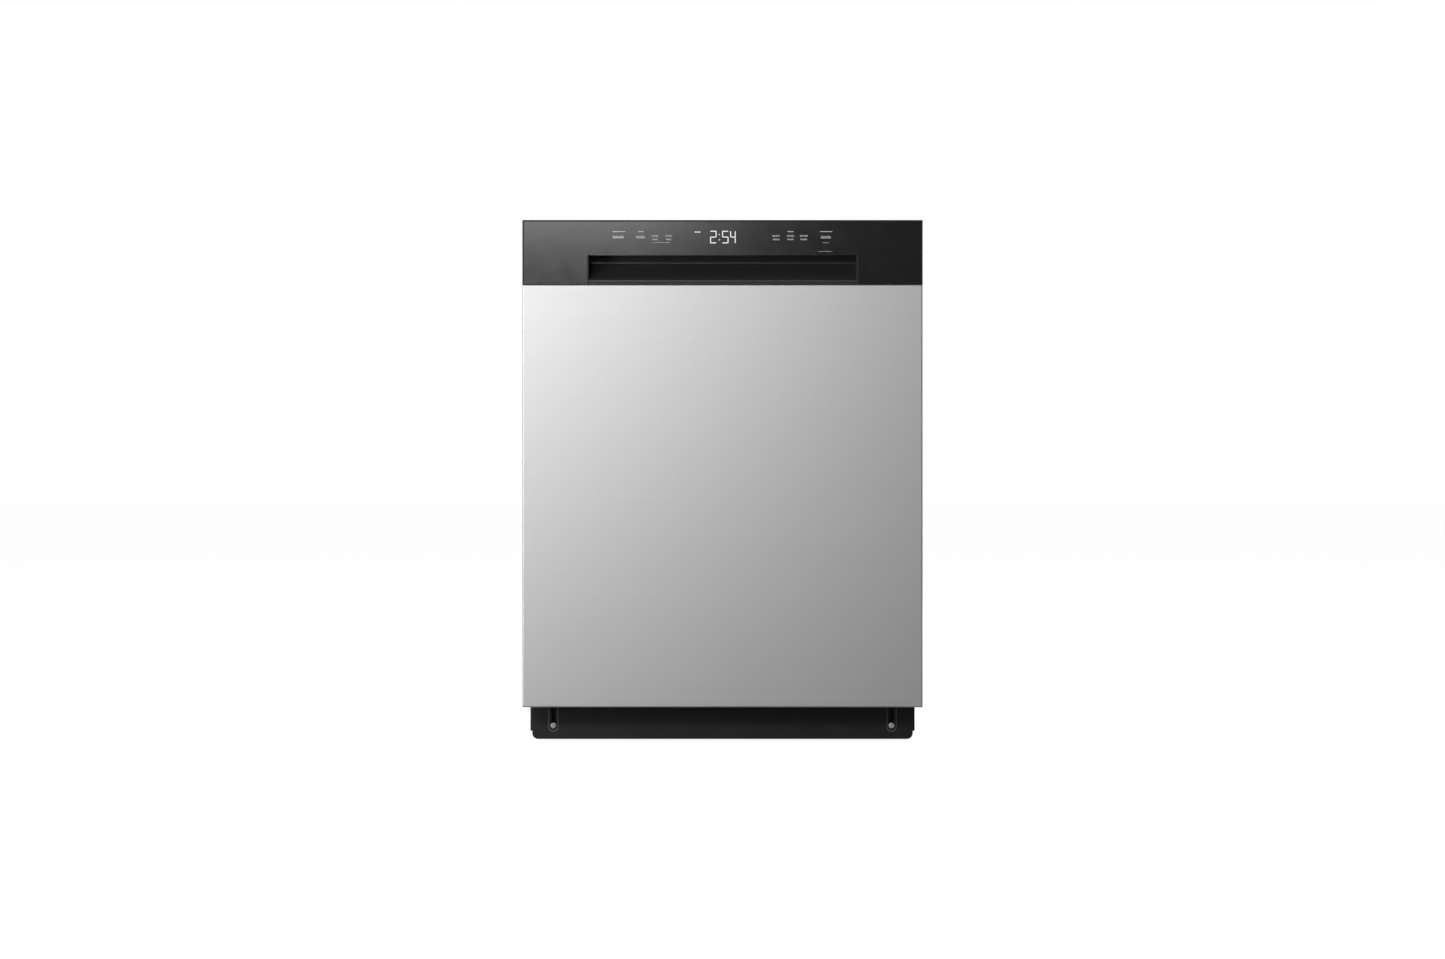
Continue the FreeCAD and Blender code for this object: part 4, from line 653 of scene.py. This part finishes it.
def coil(side):
    """A close-wound tension spring with hooked ends, along Y."""
    x, z = side * 0.279, 0.1084
    front, back, radius, wire, turns = -0.235, -0.085, 0.0052, 0.0012, 52
    line = [Vector((side * 0.2895, -0.281, z)), Vector((side * 0.284, -0.281, z)),
            Vector((x, -0.279, z)), Vector((x, -0.270, z)), Vector((x, -0.250, z)),
            Vector((x, front - 0.004, z))]
    for i in range(turns * 14 + 1):
        turn = 2 * math.pi * i / 14
        grow = min(1.0, i / 14, (turns * 14 - i) / 14)
        y = front + (back - front) * i / (turns * 14)
        line.append(Vector((x + radius * grow * math.cos(turn) * side, y,
                            z + radius * grow * math.sin(turn))))
    line += [Vector((x, back + 0.004, z)), Vector((x, -0.068, z)),
             Vector((side * 0.282, -0.066, z)), Vector((side * 0.2929, -0.066, z))]
    return round_skin(line, [wire] * len(line), 7)


springs = piece("door_coil_springs", *joined([coil(-1), coil(1)]), SPRING, "cabinet",
                "spring_steel")
springs.parent = None  # the springs are left without a parent
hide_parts("door_springs")
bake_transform(springs)


# ---- printed marks and display ---------------------------------------------------------------
PANEL_Y = FRONT + 0.4 * MM
MARK_RISE = 0.12 * MM


def plate(x0, x1, z0, z1, corner=0.25):
    """A thin raised print with cut corners, in millimetres on the panel's face."""
    c = min(corner, (x1 - x0) / 2.2, (z1 - z0) / 2.2)
    outline = [(x0 + c, z0), (x1 - c, z0), (x1, z0 + c), (x1, z1 - c), (x1 - c, z1),
               (x0 + c, z1), (x0, z1 - c), (x0, z0 + c)]
    verts = [Vector((x * MM, PANEL_Y - MARK_RISE, z * MM)) for x, z in outline]
    verts += [Vector((x * MM, PANEL_Y + 0.05 * MM, z * MM)) for x, z in outline]
    faces = [tuple(range(8)), tuple(range(15, 7, -1))]
    faces += [(i, (i + 1) % 8, 8 + (i + 1) % 8, 8 + i) for i in range(8)]
    return verts, faces


STROKE_HEIGHTS = (1.0, 0.68, 0.72, 0.95, 0.66, 0.70, 0.90, 0.68)


def label(x0, x1, z, height, first=0):
    """A word-like row of thin upright strokes, which stands for a print and spells nothing."""
    count = max(3, round((x1 - x0) / (0.26 * height + 0.62)))
    pitch = (x1 - x0) / count
    parts = []
    for i in range(count):
        tall = height * STROKE_HEIGHTS[(i + first) % len(STROKE_HEIGHTS)]
        left = x0 + i * pitch
        base = z - height / 2
        parts.append(plate(left, left + pitch * 0.50, base, base + tall, 0.15))
        if i % 3 == 1:
            parts.append(plate(left, left + pitch * 1.2, base, base + 0.4, 0.1))
    return parts


SEGMENTS = {"2": "abged", "5": "afgcd", "4": "fgbc"}


def digit(figure, x, z, width, height, line):
    """A seven-segment figure whose lower left corner is at x, z."""
    middle, gap = z + height / 2, 0.35
    bars = {
        "a": (x + gap, x + width - gap, z + height - line, z + height),
        "g": (x + gap, x + width - gap, middle - line / 2, middle + line / 2),
        "d": (x + gap, x + width - gap, z, z + line),
        "f": (x, x + line, middle + gap, z + height - gap),
        "b": (x + width - line, x + width, middle + gap, z + height - gap),
        "e": (x, x + line, z + gap, middle - gap),
        "c": (x + width - line, x + width, z + gap, middle - gap),
    }
    return [plate(*bars[s], 0.5) for s in SEGMENTS[figure]]


dim, bright = [], []
for x0, x1 in ((-165.4, -146.7), (-127.4, -118.9), (97.5, 107.0), (146.9, 165.2)):
    dim.append(plate(x0, x1, 774.0, 775.0))
dim += label(-164.8, -147.8, 766.6, 4.4)
dim += label(-130.0, -116.5, 766.6, 4.0, 3)
for x0, x1, first in ((-106.4, -96.4, 1), (-85.7, -76.1, 4), (74.9, 86.9, 2), (97.0, 108.0, 5),
                      (117.1, 128.6, 0)):
    inset = (x1 - x0) * 0.08
    dim += label(x0, x1, 768.3, 2.8, first)
    dim += label(x0 + inset, x1 - inset, 763.0, 2.8, first + 3)
dim += label(-104.5, -79.5, 758.2, 1.2)
dim += label(148.2, 163.8, 766.4, 4.6, 2)
dim += label(150.9, 160.7, 757.9, 1.3, 4)
dim += label(143.9, 165.5, 744.7, 1.3, 1)
bright += [plate(-41.6, -37.9, 773.1, 774.5), plate(-37.0, -33.4, 773.1, 774.5)]
bright += digit("2", -18.6, 756.9, 9.6, 18.8, 1.3)
bright += [plate(-5.5, -4.0, 769.4, 770.9), plate(-5.5, -4.0, 761.5, 763.0)]
bright += digit("5", -0.6, 756.9, 9.6, 18.8, 1.3)
bright += digit("4", 11.6, 756.9, 8.2, 18.8, 1.3)
piece("panel_marks", *joined(dim), PRINT, "door", "white_plastic", False)
piece("display_segments", *joined(bright), LIT, "door", "white_plastic", False)


# ---- stage, light and camera -----------------------------------------------------------------
def floor_material():
    """A pale studio floor that fades into the white background and only faintly lights the part."""
    material, nodes, links, bsdf = shader("stage_floor", (0.5, 0.5, 0.5), 0.9,
                                          Specular_IOR_Level=0.0)
    bsdf.inputs["Emission Color"].default_value = (1, 1, 1, 1)
    bsdf.inputs["Emission Strength"].default_value = 0.88
    dull = nodes.new("ShaderNodeBsdfDiffuse")
    dull.inputs["Color"].default_value = (0.30, 0.30, 0.30, 1)
    seen_or_not = nodes.new("ShaderNodeMixShader")
    path = nodes.new("ShaderNodeLightPath")
    links.new(path.outputs["Is Camera Ray"], seen_or_not.inputs["Fac"])
    links.new(dull.outputs["BSDF"], seen_or_not.inputs[1])
    links.new(bsdf.outputs["BSDF"], seen_or_not.inputs[2])
    links.new(seen_or_not.outputs["Shader"], nodes["Material Output"].inputs["Surface"])
    return material


half = 30.0
floor = bpy.data.objects.new("stage_floor", bpy.data.meshes.new("stage_floor"))
floor.data.from_pydata([(-half, -half, -0.0004), (half, -half, -0.0004), (half, half, -0.0004),
                        (-half, half, -0.0004)], [], [(0, 1, 2, 3)])
bpy.context.scene.collection.objects.link(floor)
paint(floor, floor_material())

world = bpy.data.worlds.new("studio")
bpy.context.scene.world = world
world.use_nodes = True
wn, wl = world.node_tree.nodes, world.node_tree.links
wn.clear()
out = wn.new("ShaderNodeOutputWorld")
pick = wn.new("ShaderNodeMixShader")
rays = wn.new("ShaderNodeLightPath")
seen = wn.new("ShaderNodeBackground")
around = wn.new("ShaderNodeBackground")
seen.inputs["Color"].default_value = (1, 1, 1, 1)
seen.inputs["Strength"].default_value = 1.0
around.inputs["Color"].default_value = (0.97, 0.98, 1.0, 1)
way = wn.new("ShaderNodeTexCoord")
parts_of = wn.new("ShaderNodeSeparateXYZ")
wl.new(way.outputs["Generated"], parts_of.inputs["Vector"])
behind = wn.new("ShaderNodeMapRange")
behind.interpolation_type = "SMOOTHSTEP"
behind.inputs["From Min"].default_value = -0.1
behind.inputs["From Max"].default_value = 0.5
wl.new(parts_of.outputs["Y"], behind.inputs["Value"])
above = wn.new("ShaderNodeMapRange")
above.interpolation_type = "SMOOTHSTEP"
above.inputs["From Min"].default_value = 0.45
above.inputs["From Max"].default_value = 0.95
wl.new(parts_of.outputs["Z"], above.inputs["Value"])
either = wn.new("ShaderNodeMath")
either.operation = "MAXIMUM"
wl.new(behind.outputs["Result"], either.inputs[0])
wl.new(above.outputs["Result"], either.inputs[1])
ambient = wn.new("ShaderNodeMapRange")
ambient.name = "ambient"
ambient.inputs["To Min"].default_value = 0.02
ambient.inputs["To Max"].default_value = 0.30
wl.new(either.outputs[0], ambient.inputs["Value"])
wl.new(ambient.outputs["Result"], around.inputs["Strength"])
wl.new(rays.outputs["Is Camera Ray"], pick.inputs["Fac"])
wl.new(around.outputs["Background"], pick.inputs[1])
wl.new(seen.outputs["Background"], pick.inputs[2])
wl.new(pick.outputs["Shader"], out.inputs["Surface"])


def soft_light(name, where, target, size_x, size_y, power):
    """A rectangular lamp that faces a target point."""
    lamp = bpy.data.lights.new(name, "AREA")
    lamp.shape = "RECTANGLE"
    lamp.size, lamp.size_y = size_x, size_y
    lamp.energy = power
    lamp.spread = math.radians(180)
    holder = bpy.data.objects.new(name, lamp)
    bpy.context.scene.collection.objects.link(holder)
    holder.location = where
    holder.rotation_euler = (Vector(target) - Vector(where)).to_track_quat("-Z", "Y").to_euler()
    return holder


soft_light("key_left", (-1.065, -2.494, 1.35), (-0.298, -0.3, 0.997), 2.1, 0.414, 39.0)
soft_light("key_low", (-1.7, -1.663, 0.4), (-0.1, -0.3, 0.45), 0.594, 0.594, 15.5)
soft_light("top", (0, -0.4, 3.0), (0, 0, 0.4), 3.0, 3.0, 6.0)
soft_light("front_fill", (0.0, -4.6, 1.6), (0, 0, 0.4), 3.0, 1.6, 3)
soft_light("fill_right", (2.6, -1.6, 1.0), (0, 0, 0.4), 1.2, 1.6, 0.16)
soft_light("back_fill", (0.6, 3.0, 1.6), (0, 0, 0.4), 3.0, 2.2, 24)
soft_light("side_left", (-3.0, 1.2, 1.6), (0, 0.1, 0.4), 3.0, 2.2, 20)
soft_light("side_right", (3.0, 1.2, 1.6), (0, 0.1, 0.4), 3.0, 2.2, 20)

# A lamp in the tub shows the racks when the door is open. The closed door hides it.
inside = soft_light("tub_lamp", (0.0, -0.235, 0.745), (0.0, 0.02, 0.25), 0.44, 0.02, 3.2)
inside.visible_camera = False

camera = bpy.data.cameras.new("camera")
camera.sensor_width = 36.0
camera.lens = 52.95
camera.clip_end = 200
eye = bpy.data.objects.new("camera", camera)
eye.location = (0.0, FRONT - 3.2, 0.4012)
eye.rotation_euler = (math.radians(90), 0, 0)
bpy.context.scene.collection.objects.link(eye)
bpy.context.scene.camera = eye
bpy.context.scene.view_settings.view_transform = "Standard"
bpy.context.scene.view_settings.look = "None"
